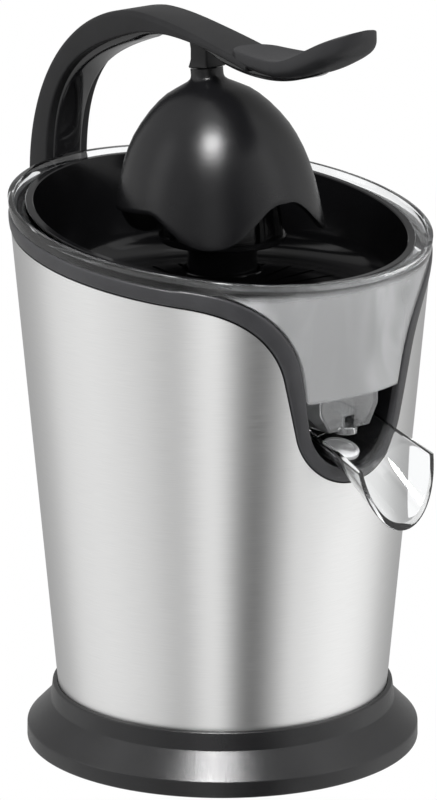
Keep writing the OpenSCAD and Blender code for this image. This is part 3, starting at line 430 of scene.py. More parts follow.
def ring_tree():
    """Node tree that repeats the incoming shape around a vertical axis."""
    title = "Repeat around axis"
    if title in bpy.data.node_groups:
        return bpy.data.node_groups[title]
    tree = bpy.data.node_groups.new(title, "GeometryNodeTree")
    for name, kind in (("Shape", "Geometry"), ("Count", "Int"), ("Phase", "Float"), ("Centre", "Vector"),
                       ("Material", "Material")):
        tree.interface.new_socket(name, in_out="INPUT", socket_type="NodeSocket" + kind)
    tree.interface.new_socket("Shape", in_out="OUTPUT", socket_type="NodeSocketGeometry")
    given = node(tree, "NodeGroupInput").outputs
    line = node(tree, "GeometryNodeMeshLine", Count=given["Count"], Start_Location=given["Centre"],
                Offset=(0, 0, 0))
    index = node(tree, "GeometryNodeInputIndex").outputs[0]
    step = maths(tree, "DIVIDE", tau, given["Count"])
    angle = maths(tree, "MULTIPLY_ADD", index, step, given["Phase"])
    euler = node(tree, "ShaderNodeCombineXYZ", Z=angle).outputs[0]
    turn = node(tree, "FunctionNodeEulerToRotation", euler).outputs[0]
    spread = node(tree, "GeometryNodeInstanceOnPoints", Points=line.outputs[0], Instance=given["Shape"],
                  Rotation=turn)
    solid = node(tree, "GeometryNodeRealizeInstances", spread.outputs[0])
    paint = node(tree, "GeometryNodeSetMaterial", Geometry=solid.outputs[0], Material=given["Material"])
    node(tree, "NodeGroupOutput", paint.outputs[0])
    return tree


def repeat(obj, count, material, phase=0.0, centre=(0, 0, 0)):
    """Repeats a shape around an axis and makes the result a plain mesh."""
    mod = obj.modifiers.new("Repeat", "NODES")
    mod.node_group = ring_tree()
    given = {"Count": count, "Phase": phase, "Centre": [c * MM for c in centre], "Material": material}
    for item in mod.node_group.interface.items_tree:
        if item.name in given:
            mod[item.identifier] = given[item.name]
    obj.update_tag()
    bake_modifiers(obj)
    return obj


# ---------------------------------------------------------------- housing's rule


def cone(z, off=0.0):
    """Radius of the shell's face at a height, in millimetres."""
    h = housing()
    return h.foot_radius / MM + h.growth * z + off


def polar(r, angle, z):
    """Point at a radius and a height; angle 0 is the front."""
    return (r * sin(angle), -r * cos(angle), z)


def rim_point(angle, drop, off=0.0):
    """Point on the plane that lies some way under the rim."""
    h = housing()
    c = cos(angle)
    top = h.rim_height / MM - drop
    z = (top - h.rim_slope * c * h.foot_radius / MM) / (1 + h.rim_slope * h.growth * c)
    return polar(cone(z, off), angle, z)


def opening_half(inset):
    """Right half of the front opening's outline, from its lowest point to the rim."""
    h = housing()
    arc, straight, sweep = 22, 10, 26
    az = h.opening_height / MM
    bx, bz = h.shoulder_x / MM, h.shoulder_z / MM
    ra = h.opening_radius / MM - inset
    rb = h.shoulder_radius / MM + inset * TRIM_RISE / TRIM_WIDTH
    way = atan2(bz - az, bx) + asin((ra + rb) / hypot(bx, bz - az))
    last = asin((bx - h.join_x / MM) / rb)
    pts = [(ra * sin(way * i / arc), az - ra * cos(way * i / arc)) for i in range(arc + 1)]
    low, high = Vector(pts[-1]), Vector((bx - rb * sin(way), bz + rb * cos(way)))
    pts += [tuple(low.lerp(high, i / straight)) for i in range(1, straight)]
    for i in range(sweep + 1):
        t = way + (last - way) * i / sweep
        pts.append((bx - rb * sin(t), bz + rb * cos(t)))
    return pts


def edge_loop(inset, drop):
    """Closed line around the opening and the rim, as angles and heights."""
    right = [(asin(x / cone(z)), z) for x, z in opening_half(inset)]
    start, steps = right[-1][0], 96
    angles = [start + (tau - 2 * start) * i / steps for i in range(1, steps)]
    rim = [(a, rim_point(a, drop)[2]) for a in angles]
    left = [(tau - a, z) for a, z in reversed(right[1:])]
    return right + rim + left


# ---------------------------------------------------------------- materials


def new_material(name, **sockets):
    """A principled material with the given socket values."""
    mat = bpy.data.materials.new(name)
    mat.use_nodes = True
    for key, value in sockets.items():
        if key == "Base_Color":
            value = (*value, 1)
        feed(shader_of(mat).inputs[key.replace("_", " ")], value)
    return mat


def shader_of(mat):
    """The material's own principled shader."""
    return mat.node_tree.nodes["Principled BSDF"]


def relief(mat, height, strength, distance):
    """Wires a height into the material as a bump."""
    bump = node(mat.node_tree, "ShaderNodeBump", Strength=strength, Distance=distance, Height=height)
    feed(shader_of(mat).inputs["Normal"], bump.outputs[0])


def grain(mat, scale, strength, detail=3.0, stretch=(1, 1, 1), distance=0.0002):
    """Moulded grain as a bump."""
    relief(mat, noise(mat.node_tree, scale, detail, stretch), strength, distance)


def vary_roughness(mat, scale, low, high, stretch=(1, 1, 1)):
    """Slow changes of roughness, as handling leaves them."""
    wear = noise(mat.node_tree, scale, 4.0, stretch)
    feed(shader_of(mat).inputs["Roughness"], remap(mat.node_tree, wear, target=(low, high)))


def tones(rgb, spread):
    """A darker and a lighter tone of a colour."""
    return tuple(c * (1 - spread) for c in rgb), tuple(min(c * (1 + spread), 1) for c in rgb)


def vary_colour(mat, scale, rgb, spread):
    """Slight changes of colour between two tones."""
    dark, light = tones(rgb, spread)
    cloud = noise(mat.node_tree, scale, 5.0)
    feed(shader_of(mat).inputs["Base Color"], ramp(mat.node_tree, cloud, [(0.3, dark), (0.7, light)]))


def black_plastic(name, rgb, rough, specular=0.5, coarse=2600, height=0.25):
    """Satin moulded plastic with fine spark grain."""
    mat = new_material(name, Base_Color=rgb, IOR=1.5, Specular_IOR_Level=specular)
    grain(mat, coarse, height)
    vary_roughness(mat, 60, rough - 0.04, rough + 0.05)
    vary_colour(mat, 90, rgb, 0.12)
    return mat


def gloss_plastic(name, rgb, rough=0.08, specular=0.5):
    """Polished moulding with faint flow marks."""
    mat = new_material(name, Base_Color=rgb, IOR=1.5, Specular_IOR_Level=specular)
    grain(mat, 35, 0.05, detail=1.0, distance=0.0004)
    vary_roughness(mat, 40, rough * 0.7, rough * 1.4)
    vary_colour(mat, 50, rgb, 0.1)
    return mat


def brushed_steel(name, rgb):
    """Steel brushed around the housing: short fine scratches along the girth."""
    mat = new_material(name, Base_Color=rgb, Metallic=1.0, Anisotropic=0.7, Anisotropic_Rotation=0.25)
    tree, shader = mat.node_tree, shader_of(mat)
    tangent = node(tree, "ShaderNodeTangent", direction_type="RADIAL", axis="Z")
    feed(shader.inputs["Tangent"], tangent.outputs[0])
    x, y, z = axes(tree)
    along, across = 6.0, 3200.0
    girth = maths(tree, "MULTIPLY", maths(tree, "ARCTAN2", x, y), along)
    height = maths(tree, "MULTIPLY", z, across)
    flat = node(tree, "ShaderNodeCombineXYZ", girth, height).outputs[0]
    marks = node(tree, "ShaderNodeTexNoise", Vector=flat, Scale=1.0, Detail=3.0, Roughness=0.7)
    scratch = marks.outputs["Fac"]
    tone = remap(tree, scratch, target=(0.9, 1.08))
    feed(shader.inputs["Base Color"], mix_colour(tree, 1.0, (*rgb, 1), tone, "MULTIPLY"))
    feed(shader.inputs["Roughness"], remap(tree, scratch, target=(0.27, 0.4)))
    relief(mat, scratch, 0.08, 0.00005)
    return mat


def clear_plastic(name, tint, haze=None):
    """Clear moulded wall; with haze, the apron scatters some light and carries painted streaks of reflected
    light.
    """
    mat = new_material(name, Base_Color=tint, Roughness=0.03, IOR=1.49, Transmission_Weight=1.0)
    grain(mat, 22, 0.12, detail=2.0, distance=0.0006)
    if haze is None:
        return mat
    tree = mat.node_tree
    # The haze's colour runs between a darker and a lighter tone in upright streaks: partly random tone of
    # the haze, partly painted streaks of reflected light.
    dim, lit = tones(haze, 0.22)
    haze_with_painted_streaks = ramp(tree, noise(tree, 26, 2.0, (1, 1, 0.45), Distortion=1.2), [(0.38, dim), (0.62, lit)], "EASE")
    milk = node(tree, "ShaderNodeBsdfPrincipled", Base_Color=haze_with_painted_streaks, Roughness=0.16, IOR=1.49, Coat_Weight=0.6)
    # The haze comes in towards the front, and fades at the rim and by the outlet.
    rear_to_front, rim_to_apron, outlet_to_apron = (-0.036, -0.062), (0.226, 0.221), (0.1735, 0.1765)
    _, y, z = axes(tree)
    front = remap(tree, y, rear_to_front, (0, 0.56), "SMOOTHSTEP")
    below = remap(tree, z, rim_to_apron, how="SMOOTHSTEP")
    above = remap(tree, z, outlet_to_apron, (0.35, 1), "SMOOTHSTEP")
    share = maths(tree, "MULTIPLY", maths(tree, "MULTIPLY", front, below), above)
    mix_shaders(tree, share, shader_of(mat), milk)
    return mat


def metal(name, rgb, rough, streak=(1, 1, 1)):
    """Turned or cast metal with fine marks."""
    mat = new_material(name, Base_Color=rgb, Metallic=1.0)
    grain(mat, 900, 0.12, stretch=streak, distance=0.00005)
    vary_roughness(mat, 300, rough * 0.8, rough * 1.25, streak)
    vary_colour(mat, 120, rgb, 0.08)
    return mat


def elastomer(name, rgb, rough=0.6):
    """Matt rubber or silicone."""
    mat = new_material(name, Base_Color=rgb, IOR=1.45, Sheen_Weight=0.15)
    grain(mat, 1800, 0.3)
    vary_roughness(mat, 80, rough - 0.06, rough + 0.08)
    vary_colour(mat, 110, rgb, 0.06)
    return mat


FINISHES = {}


def finish_table():
    """Each finish's maker and what it is given."""
    h, k, d, c = housing(), handle(), dome(), clear()
    return {
        "steel": (brushed_steel, "Brushed steel", h.steel),
        "trim": (black_plastic, "Trim plastic", h.trim, 0.34, 0.4),
        "stand": (black_plastic, "Stand plastic", (0.006, 0.006, 0.0065), 0.25, 0.4, 1800, 0.4),
        "arm": (black_plastic, "Arm plastic", k.black, 0.42, 0.18),
        "dome": (black_plastic, "Dome plastic", d.black, 0.25, 0.26),
        "grip": (black_plastic, "Grip plastic", k.grip, 0.46, 0.25),
        "gloss": (gloss_plastic, "Polished black", (0.006, 0.006, 0.0065)),
        "bowl": (gloss_plastic, "Bowl black", (0.003, 0.003, 0.0033), 0.12, 0.2),
        "hidden": (black_plastic, "Matt black", (0.008, 0.008, 0.009), 0.5, 0.2),
        "nylon": (black_plastic, "Filled nylon", (0.06, 0.06, 0.065), 0.5),
        "acetal": (black_plastic, "Acetal", (0.78, 0.75, 0.66), 0.4),
        "fan": (black_plastic, "Fan plastic", (0.05, 0.14, 0.3), 0.42),
        "phenolic": (black_plastic, "Phenolic", (0.22, 0.03, 0.025), 0.5),
        "clear": (clear_plastic, "Clear plastic", c.tint),
        "collector": (clear_plastic, "Clear collector", c.tint, c.haze),
        "silicone": (elastomer, "Light silicone", (0.5, 0.505, 0.51), 0.5),
        "rubber": (elastomer, "Black rubber", (0.015, 0.015, 0.015)),
        "grey rubber": (elastomer, "Grey rubber", (0.1, 0.1, 0.105)),
        "bright": (metal, "Bright steel", (0.62, 0.62, 0.63), 0.2),
        "cast": (metal, "Cast aluminium", (0.58, 0.59, 0.6), 0.42),
        "brass": (metal, "Brass", (0.72, 0.5, 0.2), 0.3),
        "laminated": (metal, "Laminations", (0.4, 0.41, 0.43), 0.35, (1, 1, 12)),
        "copper": (metal, "Enamelled copper", (0.55, 0.2, 0.07), 0.3, (1, 1, 6)),
    }


def finish(name):
    """One shared material for each finish."""
    if name not in FINISHES:
        maker, *given = finish_table()[name]
        FINISHES[name] = maker(*given)
    return FINISHES[name]


def dress(obj, look):
    """Gives a mesh its one finish."""
    obj.data.materials.clear()
    obj.data.materials.append(finish(look))


def place(obj, body, look, slot, *nodes, sharp):
    """Finishes a piece and hangs it on its body, in the place of the nodes it stands for."""
    smooth(obj, sharp)
    dress(obj, look)
    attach(obj, body)
    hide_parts(*nodes)


# ---------------------------------------------------------------- pieces


class PRESS_OT_shell(Operator):
    """Steel shell up to the trim around the rim and the front opening"""
    bl_idname = "press.shell"
    bl_label = "Steel shell"

    def execute(self, context):
        rings = []
        for angle, top in edge_loop(0.0, TRIM_DROP):
            heights = [min(z, top) for z in (SHELL_FOOT, 60, 110, top)]
            outer = [polar(cone(z), angle, z) for z in heights]
            rings.append(outer + [polar(cone(z, -SHELL_WALL), angle, z) for z in reversed(heights)])
        obj = loft("shell_skin", rings, around=True)
        carve(obj, move(tube("gland_tool", 0, 6, -30, 30, 48), (0, 78, 36), radians(90)))
        place(obj, "housing", "steel", "brushed_steel", "steel_shell", sharp=30)
        return {"FINISHED"}


class PRESS_OT_trim(Operator):
    """Crowned dark edging around the rim and the front opening"""
    bl_idname = "press.trim"
    bl_label = "Trim"

    def execute(self, context):
        gap = housing().trim_gap / MM
        outer = edge_loop(gap, TRIM_DROP - gap)
        inner = edge_loop(TRIM_WIDTH, TRIM_DROP - TRIM_RISE + gap)
        profile = [(0.0, -2.7), (0.0, -0.5), (0.03, 0.02), (0.09, 0.32), (0.18, 0.48), (0.5, 0.62),
                   (0.82, 0.48), (0.91, 0.3), (0.97, -0.05), (1.0, -0.6), (1.0, -2.7)]
        rings = []
        for (a0, z0), (a1, z1) in zip(outer, inner):
            line = [(a0 + (a1 - a0) * t, z0 + (z1 - z0) * t, off) for t, off in profile]
            rings.append([polar(cone(z, off), a, z) for a, z, off in line])
        obj = loft("trim_edging", rings, around=True)
        place(obj, "housing", "trim", "satin_trim", "trim_bezel", sharp=50)
        return {"FINISHED"}


class PRESS_OT_stand(Operator):
    """Flared stand with soft edges, the seat of the shell and four bosses"""
    bl_idname = "press.stand"
    bl_label = "Stand"

    def execute(self, context):
        outline = [(84.7, 1.0), (88.0, 1.0), (87.9, 8.1), (77.3, 18.9), (76.3, 26.7), (74.2, 27.2),
                   (73.5, 19.2), (70.0, 19.2), (70.0, 16.4), (73.6, 16.0), (84.7, 5.2)]
        radii = [0.3, 0.9, 1.6, 0.5, 0.6, 0.5, 0.1, 0.1, 0.1, 0.3, 0.5]
        obj = lathe("stand_ring", rounded(outline, radii), 256)
        for angle in (45, 135, 225, 315):
            a = radians(angle)
            centre = (SCREW_CIRCLE * cos(a), SCREW_CIRCLE * sin(a))
            join(obj, tube("boss", 1.6, 4.2, 4.6, 16.6, 32, centre))
        place(obj, "housing", "stand", "satin_black", "base_ring", sharp=40)
        return {"FINISHED"}


class PRESS_OT_screws(Operator):
    """Four screws with crossed slots under the base plate"""
    bl_idname = "press.screws"
    bl_label = "Base screws"

    def execute(self, context):
        line = rounded([(0.0, 13.0), (1.5, 13.0), (1.5, 3.0), (3.1, 3.0), (3.1, 1.9), (0.0, 1.9)],
                       [0, 0.4, 0.1, 0.1, 0.4, 0], 3)
        obj = lathe("base_screw_set", line, 32)
        for x, y in ((2.0, 0.3), (0.3, 2.0)):
            carve(obj, block("slot_tool", (-x, -y, 1.0), (x, y, 2.5)))
        move(obj, (SCREW_CIRCLE, 0, 0))
        repeat(obj, 4, finish("bright"), radians(45))
        place(obj, "housing", "bright", "bright_steel", "base_screws", sharp=30)
        return {"FINISHED"}


def wall_solid(name, off, low):
    """Solid that follows the housing's cone from a height to above the rim."""
    high = ABOVE_RIM
    return lathe(name, [(0, low), (cone(low, off), low), (cone(high, off), high), (0, high)], 256)


def under_plane(drop):
    """Everything below the plane that lies some way under the rim."""
    obj = block("cut", (-160, -160, -320), (160, 160, 0))
    return move(obj, (0, 0, housing().rim_height / MM - drop), atan(housing().rim_slope))


def under_rim(name, off, low, drop):
    """Wall solid that ends some way under the rim."""
    return keep(wall_solid(name, off, low), under_plane(drop))


def opening_solid(inset):
    """The front opening's outline carried through the front wall."""
    half = opening_half(inset)
    line = [(-x, z) for x, z in reversed(half[1:])] + half
    high = 275
    line = [(line[0][0], high)] + line + [(line[-1][0], high)]
    return loft("cut", [[(x, y, z) for x, z in line] for y in (-40, -130)])


def hopper(name, gap, low, high):
    """Outlet hopper with sloping sides."""
    foot, side = 12 - gap, 17 - gap
    right = [(foot, low), (side, HOPPER_KNEE), (side, high)]
    line = [(-x, z) for x, z in reversed(right)] + right
    return loft(name, [[(x, y, z) for x, z in line] for y in (-66 - gap, -80.6 + gap)])


def on_pivot(obj, side):
    """Lays an upright part along the spout's axis, on one side."""
    return move(obj, SPOUT_AXIS, side * radians(90), "Y")


class PRESS_OT_collector(Operator):
    """Clear juice collector: rim, apron, cup, chimney, outlet and the spout's pivots"""
    bl_idname = "press.collector"
    bl_label = "Juice collector"

    def execute(self, context):
        wall = clear().wall / MM
        inset, bore, chimney = TRIM_WIDTH + 0.8, 10.3, 12.3
        band_foot, seat_foot = 5.5, 3.0
        obj = self.form("collector_clear", 0, 174, 0.02, inset, 5.4)
        fuse(obj, carve(under_rim("band", 0, 205, 0.0), under_plane(band_foot)))
        inside = self.form("inside", wall, 176, wall, inset + wall, 5.6)
        carve(obj, carve(inside, tube("chimney", 0, chimney, 170, 216)))
        carve(obj, carve(under_rim("seat", -2.2, 200, -1.0), under_plane(seat_foot)))
        carve(obj, under_rim("mouth", -8.8, 215, 0.0))
        fuse(obj, hopper("hopper", 0, 159.3, 175))
        nozzle = rounded([(0, 157.1), (5, 157.1), (5, 160), (0, 160)], [0, 0.5, 0, 0], 3)
        fuse(obj, lathe("nozzle", nozzle, 64, OUTLET))
        for side in (-1, 1):
            near, far = sorted((side * 13.0, side * 16.4))
            fuse(obj, block("lug", (near, -59.6, 160), (far, -53, 175)))
            fuse(obj, on_pivot(tube("pin", 0, 2, 12.9, 19.6, 32), side))
        carve(obj, tube("bore", 0, bore, 170, 220))
        carve(obj, hopper("hollow", 2, 160.4, 177))
        carve(obj, tube("hole", 0, 3.5, 150, 165, 48, OUTLET))
        settle(obj)
        bevel(obj, clear().edge_rounding, 2, 40)
        place(obj, "housing", "collector", "clear_plastic", "juice_collector", sharp=32)
        return {"FINISHED"}

    def form(self, name, off, floor, apron, inset, drop):
        """The cup, joined to the apron that fills the front opening."""
        cup_gap, cup_drop, apron_foot = 7, 4.6, 175.0
        cup = under_rim(name, -cup_gap - off, floor, cup_drop)
        bib = keep(wall_solid("bib", -apron, max(apron_foot, floor + 0.3)), opening_solid(inset))
        return fuse(cup, keep(bib, under_plane(drop)))


class PRESS_OT_strainer(Operator):
    """Black strainer bowl that hangs in the collector, with drain slots in its floor"""
    bl_idname = "press.strainer"
    bl_label = "Strainer"

    def execute(self, context):
        # The lip's points are drops under the rim and gaps to the housing's cone.
        lip = [(3.0, -9.5), (3.0, -7.6), (2.6, -7.4), (1.8, -7.4), (1.4, -7.8), (1.4, -10.4), (1.8, -10.9)]
        inner, outer = -11.1, -9.3
        side = [(cone(z, inner), z) for z in (225, 216.4)] + self.corner(215.8, inner)
        side += [(18.5, 203.8), (18.3, 204.4), (18.3, 215.6), (18.0, 216), (16.8, 216), (16.5, 215.6),
                 (16.5, 202)]
        side += self.corner(214, outer)[::-1] + [(cone(z, outer), z) for z in (214, 222)]
        obj = turned("strainer_bowl", 240, lambda a: (
            [rim_point(a, *at) for at in lip] + [polar(r, a, z) for r, z in side]))
        slot = block("slot", (28, -1, 201), (62, 1, 206))
        bevel(slot, 0.0009, 3, 60)
        carve(obj, repeat(slot, 30, finish("bowl"), radians(6)))
        place(obj, "housing", "bowl", "gloss_black", "strainer", sharp=32)
        return {"FINISHED"}

    def corner(self, z, off):
        """Round between the bowl's wall and its floor, going down."""
        r = 12
        turns = [radians(-15 * k) for k in range(1, 7)]
        return [(cone(z, off) - r + r * cos(b), z + r * sin(b)) for b in turns]


# The dome's side: depths below its top and outer radii.
DOME_SIDE = [(0, 7.2), (3.4, 7.25), (5.2, 8.4), (7.3, 12.6), (10.2, 18.4), (14.5, 23.8), (20, 29.0),
             (27, 34.2), (35, 38.3), (43, 41.2), (52, 43.4), (63, 45.2), (75, 46.6), (80, 47.1)]


def dome_radius(h):
    """Outer radius of the dome at a depth below its top, on a smooth curve through its side's points."""
    last = len(DOME_SIDE) - 1
    i = next(n for n in range(last) if h <= DOME_SIDE[n + 1][0])
    before, (h0, r0), (h1, r1), after = (DOME_SIDE[min(max(n, 0), last)] for n in range(i - 1, i + 3))
    d = h1 - h0
    m0 = (r1 - before[1]) / (h1 - before[0])
    m1 = (after[1] - r0) / (after[0] - h0)
    t = (h - h0) / d
    return ((2 * t ** 3 - 3 * t * t + 1) * r0 + (t ** 3 - 2 * t * t + t) * d * m0
            + (3 * t * t - 2 * t ** 3) * r1 + (t ** 3 - t * t) * d * m1)


def lobe_wave(a):
    """Height of the lower edge at an angle from the front, from 1 down to -1 at the lobes.

    Each wave falls between two distances from its own middle line, across the dome.
    """
    edge, a = 46.5, degrees(abs(remainder(a, tau)))
    middle, near, far = (0, 3, 32.9) if a < 45 else (112.5, 21, 43)
    t = (edge * abs(sin(radians(a - middle))) - near) / (far - near)
    return cos(pi * min(max(t, 0), 1))


class PRESS_OT_dome(Operator):
    """Dome with a waved lower edge, on its neck"""
    bl_idname = "press.dome"
    bl_label = "Press dome"

    def execute(self, context):
        d = dome()
        wall, wave = d.wall / MM, d.wave_depth / MM
        levels = [0, 1.5, 3.0, 3.8, 4.6, 5.6, 6.8, 8.2, 10.2, 13, 17, 22, 27, 32, 38, 44, 50]
        skirt, mean_edge = levels[-1], 66

        def ring(a):
            """The dome's points at an angle: down its outside, under its edge and up its inside."""
            end = mean_edge - wave * lobe_wave(a)
            edge = dome_radius(end)
            drop = [skirt + (end - skirt) * t for t in (0.35, 0.7, 0.93)]
            climb = [skirt + (end - skirt) * t for t in (0.9, 0.5, 0.0)]
            line = [(0, 0)] + [(dome_radius(h), h) for h in levels + drop]
            line += [(edge - 0.35, end - 0.1), (edge - 0.9, end)]
            line += [(edge - wall + 0.9, end), (edge - wall + 0.35, end - 0.1)]
            line += [(dome_radius(h) - wall, h) for h in climb]
            line += [(dome_radius(h + 1.5) - wall, h + 2.2) for h in (42, 34, 26, 18, 12)]
            return [polar(r, a, -h) for r, h in line + [(6, 10.4), (0, 10.0)]]

        obj = turned("dome_shell", 288, ring)
        tongue = block("tongue", (-2.5, -3.8, -1), (2.5, 3.8, 8.5))
        bevel(tongue, 0.0005)
        move(join(obj, tongue), DOME_TOP, -d.lean)
        place(obj, "dome", "dome", "satin_black", "press_dome", sharp=45)
        return {"FINISHED"}


class PRESS_OT_post(Operator):
    """Square post between arm and dome, with softened corners and a flared foot"""
    bl_idname = "press.post"
    bl_label = "Post"

    def execute(self, context):
        half = handle().post_width / MM / 2
        foot, slanted, slope = 304.15, 6, tan(dome().lean)
        rings = []
        for z, grow in ((foot, 0.5), (304.6, 0.75), (305.8, 0.45), (307.6, 0.1), (312, 0.1), (318, 0.7)):
            w = half + grow
            line = rounded([(-w, -w), (w, -w), (w, w), (-w, w)], 1.1, 4)
            follow = max(0.0, 1 - (z - foot) / slanted)
            rings.append([(x, y + POST_Y, z - slope * y * follow) for x, y in line])
        obj = loft("arm_post", rings)
        carve(obj, block("fork_tool", (-2.9, 5.5, 300), (2.9, 14.5, 313.4)))
        place(obj, "handle", "arm", "satin_black", "stem_post", sharp=35)
        return {"FINISHED"}


def section(half, thick, low_r, high_r, crown=0.0):
    """Rounded cross-section: sideways place and height above the inner edge."""
    low_r, high_r = min(low_r, thick * 0.45), min(high_r, thick * 0.45)
    line = rounded([(-half, 0), (half, 0), (half, thick), (-half, thick)], [low_r, low_r, high_r, high_r])
    return [(x, v + (crown * (1 - (x / half) ** 2) if v > thick * 0.5 else 0)) for x, v in line]


class PRESS_OT_arm(Operator):
    """Curved arm with softened edges and the knuckle on the hinge pin"""
    bl_idname = "press.arm"
    bl_label = "Arm"

    def execute(self, context):
        half = handle().arm_width / MM / 2
        steps = (40, 24)
        outer = path([(117.5, 241), (117.5, 290), (86, 322), (48, 325.2), (30, 325.6), (8, 320.5),
                      (-28, 312.5)], *steps)
        inner = path([(104.3, 241), (105.4, 289), (86, 303.5), (48, 314.6), (36, 318.6), (14, 320.5),
                      (-28, 308.8)], *steps)
        obj = strip("arm_body", inner, outer, lambda n, at, thick: section(half, thick, 1.2, 2.6, 0.25))
        knuckle = self.knuckle()
        bevel(knuckle, 0.0006)
        join(obj, knuckle)
        place(obj, "handle", "arm", "satin_black", "handle_arm", sharp=40)
        return {"FINISHED"}

    def knuckle(self):
        """Block that is round about the hinge pin and runs up into the arm."""
        (y, z), radius, half = HINGE, 8, 8
        line = [(y + radius * cos(radians(t)), z + radius * sin(radians(t))) for t in range(-180, 1, 12)]
        line += [(115, 242), (104.4, 242)]
        line += [(y + radius * cos(radians(t)), z + radius * sin(radians(t))) for t in range(110, 179, 12)]
        return loft("knuckle", [[(x, *at) for at in line] for x in (-half, half)])


class PRESS_OT_liner(Operator):
    """Glossy liner under the arm, with a rounded end under the grip"""
    bl_idname = "press.liner"
    bl_label = "Arm liner"

    def execute(self, context):
        half = handle().liner_width / MM / 2
        steps, rounding = (36, 16, 20), 9
        low = path([(102.6, 242), (103.4, 286.5), (84, 299.5), (48, 311), (34, 318.5), (12, 317),
                    (-8, 308.4), (-26, 303.6), (-50, 303.4), (-66, 312.6)], *steps)
        high = path([(106.6, 242), (107.8, 290), (87.6, 308.6), (48, 316.8), (34, 321.8), (14, 322),
                     (-8, 313.2), (-26, 309.4), (-50, 308.4), (-66, 315.6)], *steps)

        def outline(n, at, thick):
            left = min((sum(steps) - n) / rounding, 1)
            wide = half * sqrt(max(1 - (1 - left) ** 2, 0.02))
            line = section(wide, thick, 2.4, 0.4)
            return [(x, v + 0.9 * (x / wide) ** 2 if v < thick * 0.5 else v) for x, v in line]

        obj = strip("arm_liner", low, high, outline)
        place(obj, "handle", "gloss", "gloss_black", "handle_liner", sharp=50)
        return {"FINISHED"}


class PRESS_OT_grip(Operator):
    """Paddle grip: dished on top, with soft edges and a round tip"""
    bl_idname = "press.grip"
    bl_label = "Grip"

    def execute(self, context):
        widest, dish = handle().grip_half_width / MM, handle().grip_dish / MM
        root, tip = 12.5, 88.5
        neck, centre = 2 * root, tip - widest
        steps = (24, 44)
        top = path([(-12.6, 317), (-22, 317.4), (-36, 315.6), (-48, 317), (-58, 318.4), (-68, 326),
                    (-88.4, 333.6)], *steps)
        low = path([(-12.6, 310.2), (-22, 310.4), (-36, 307.6), (-48, 308.4), (-60, 309.4), (-70, 314),
                    (-88.4, 325.2)], *steps)

        def outline(n, at, thick):
            along = -at.x
            wide = root + (widest - root) * min(max((along - neck) / 20, 0), 1)
            if along < neck:
                wide *= sqrt(1 - min((neck - along) / root, 0.995) ** 2)
            past = max(min((along - centre) / widest, 0.995), 0)
            wide *= sqrt(1 - past * past)
            thick *= 1 - 0.45 * past ** 6
            side = min(thick, 5.2 * (1 - 0.4 * past ** 6))
            dip = dish * min(1, along / 40) * (1 - past)
            line, count = [], 40
            for k in range(count):
                t = tau * (k + 0.5) / count
                c, d = cos(t), sin(t)
                x = wide * copysign(abs(c) ** (0.3 if d > 0 else 0.5), c)
                if d > 0:
                    depth = dip * (1 - (x / wide) ** 2) + (1 - d ** 0.3) * side * 0.42
                else:
                    depth = side * 0.5 + (thick - side * 0.5) * abs(d) ** 0.62
                line.append((x, depth))
            return line

        obj = strip("grip_paddle", top, low, outline)
        place(obj, "handle", "grip", "soft_grip", "grip_pad", sharp=60)
        return {"FINISHED"}


class PRESS_OT_spout(Operator):
    """Clear half-pipe spout with its ears, rounded lips and the seat for the stopper"""
    bl_idname = "press.spout"
    bl_label = "Spout"

    def execute(self, context):
        outer, wall = clear().spout_radius / MM, clear().wall / MM
        rear, front, steps, arc = -61, -111, 60, 30
        level_y, knee_y, knee_blend = -85, -87, 2.5
        fall, middle, full = radians(36), 166.6, 22.5
        rise, drop, end_slope = tan(SPOUT_TILT), tan(fall), tan(radians(12))
        knee = middle + (knee_y - level_y) * rise + full / cos(fall) - full / cos(SPOUT_TILT)

        def height(r, a, y):
            """Height of the pipe's wall, which falls more steeply after its softened knee."""
            near = middle + (y - level_y) * rise - r * cos(a) / cos(SPOUT_TILT)
            far = knee + (y - knee_y) * drop - r * cos(a) / cos(fall)
            return min(near, far) - 0.3 * max(0.0, 1 - abs(near - far) / knee_blend) ** 2

        def tip(z):
            """Place of the slanted front end at a height."""
            return -109.5 - (149.94 - z) * end_slope

        def widest(r, y):
            """Angle at which the wall reaches the open edge."""
            edge = 158.0 + (y - level_y) * rise
            low, high = 0.0, radians(100)
            for _ in range(24):
                a = (low + high) / 2
                low, high = (a, high) if height(r, a, y) < edge else (low, a)
            return low

        rings = []
        for s in range(steps + 1):
            t = s / steps
            ring = []
            for r, order in ((outer, range(arc + 1)), (outer - wall, range(arc, -1, -1))):
                for j in order:
                    y = rear + t * (front - rear)
                    for _ in range(8):
                        a = widest(r, y) * (2 * j / arc - 1)
                        z = height(r, a, y)
                        y = rear + t * (tip(z) - rear)
                    ring.append((r * sin(a), y, z))
            rings.append(ring)
        obj = loft("spout_clear", rings)
        carve(obj, move(tube("tool", 0, 8.3, -0.02, 8, 64), (*STOPPER, 148.2), SPOUT_TILT))
        ear = rounded([(2.15, 16.9), (5.5, 16.9), (5.5, 19.3), (2.15, 19.3)], [0.1, 0.5, 0.5, 0.1], 3)
        for side in (-1, 1):
            fuse(obj, on_pivot(lathe("ear", ear, 48), side))
        bevel(obj, clear().edge_rounding, 2, 40)
        place(obj, "spout", "clear", "clear_plastic", "spout_channel", sharp=35)
        return {"FINISHED"}


class PRESS_OT_stopper(Operator):
    """Soft stopper with a raised sealing lip"""
    bl_idname = "press.stopper"
    bl_label = "Stopper"

    def execute(self, context):
        line = [(0, 0), (8.2, 0), (8.2, 2.0), (6.6, 2.0), (6.2, 1.7), (0, 1.7)]
        obj = lathe("stopper_disc", rounded(line, [0, 0.1, 0.5, 0.2, 0.2, 0], 4), 96)
        move(obj, (*STOPPER, 148.3), SPOUT_TILT)
        place(obj, "spout", "silicone", "grey_silicone", "spout_stopper", sharp=40)
        return {"FINISHED"}


def reamer_side(t, base):
    """Point of the reamer's curved side, from flange to tip."""
    return cubic(t, [(base, 232), (base * 0.98, 256), (base * 0.42, 276), (0, 284)])


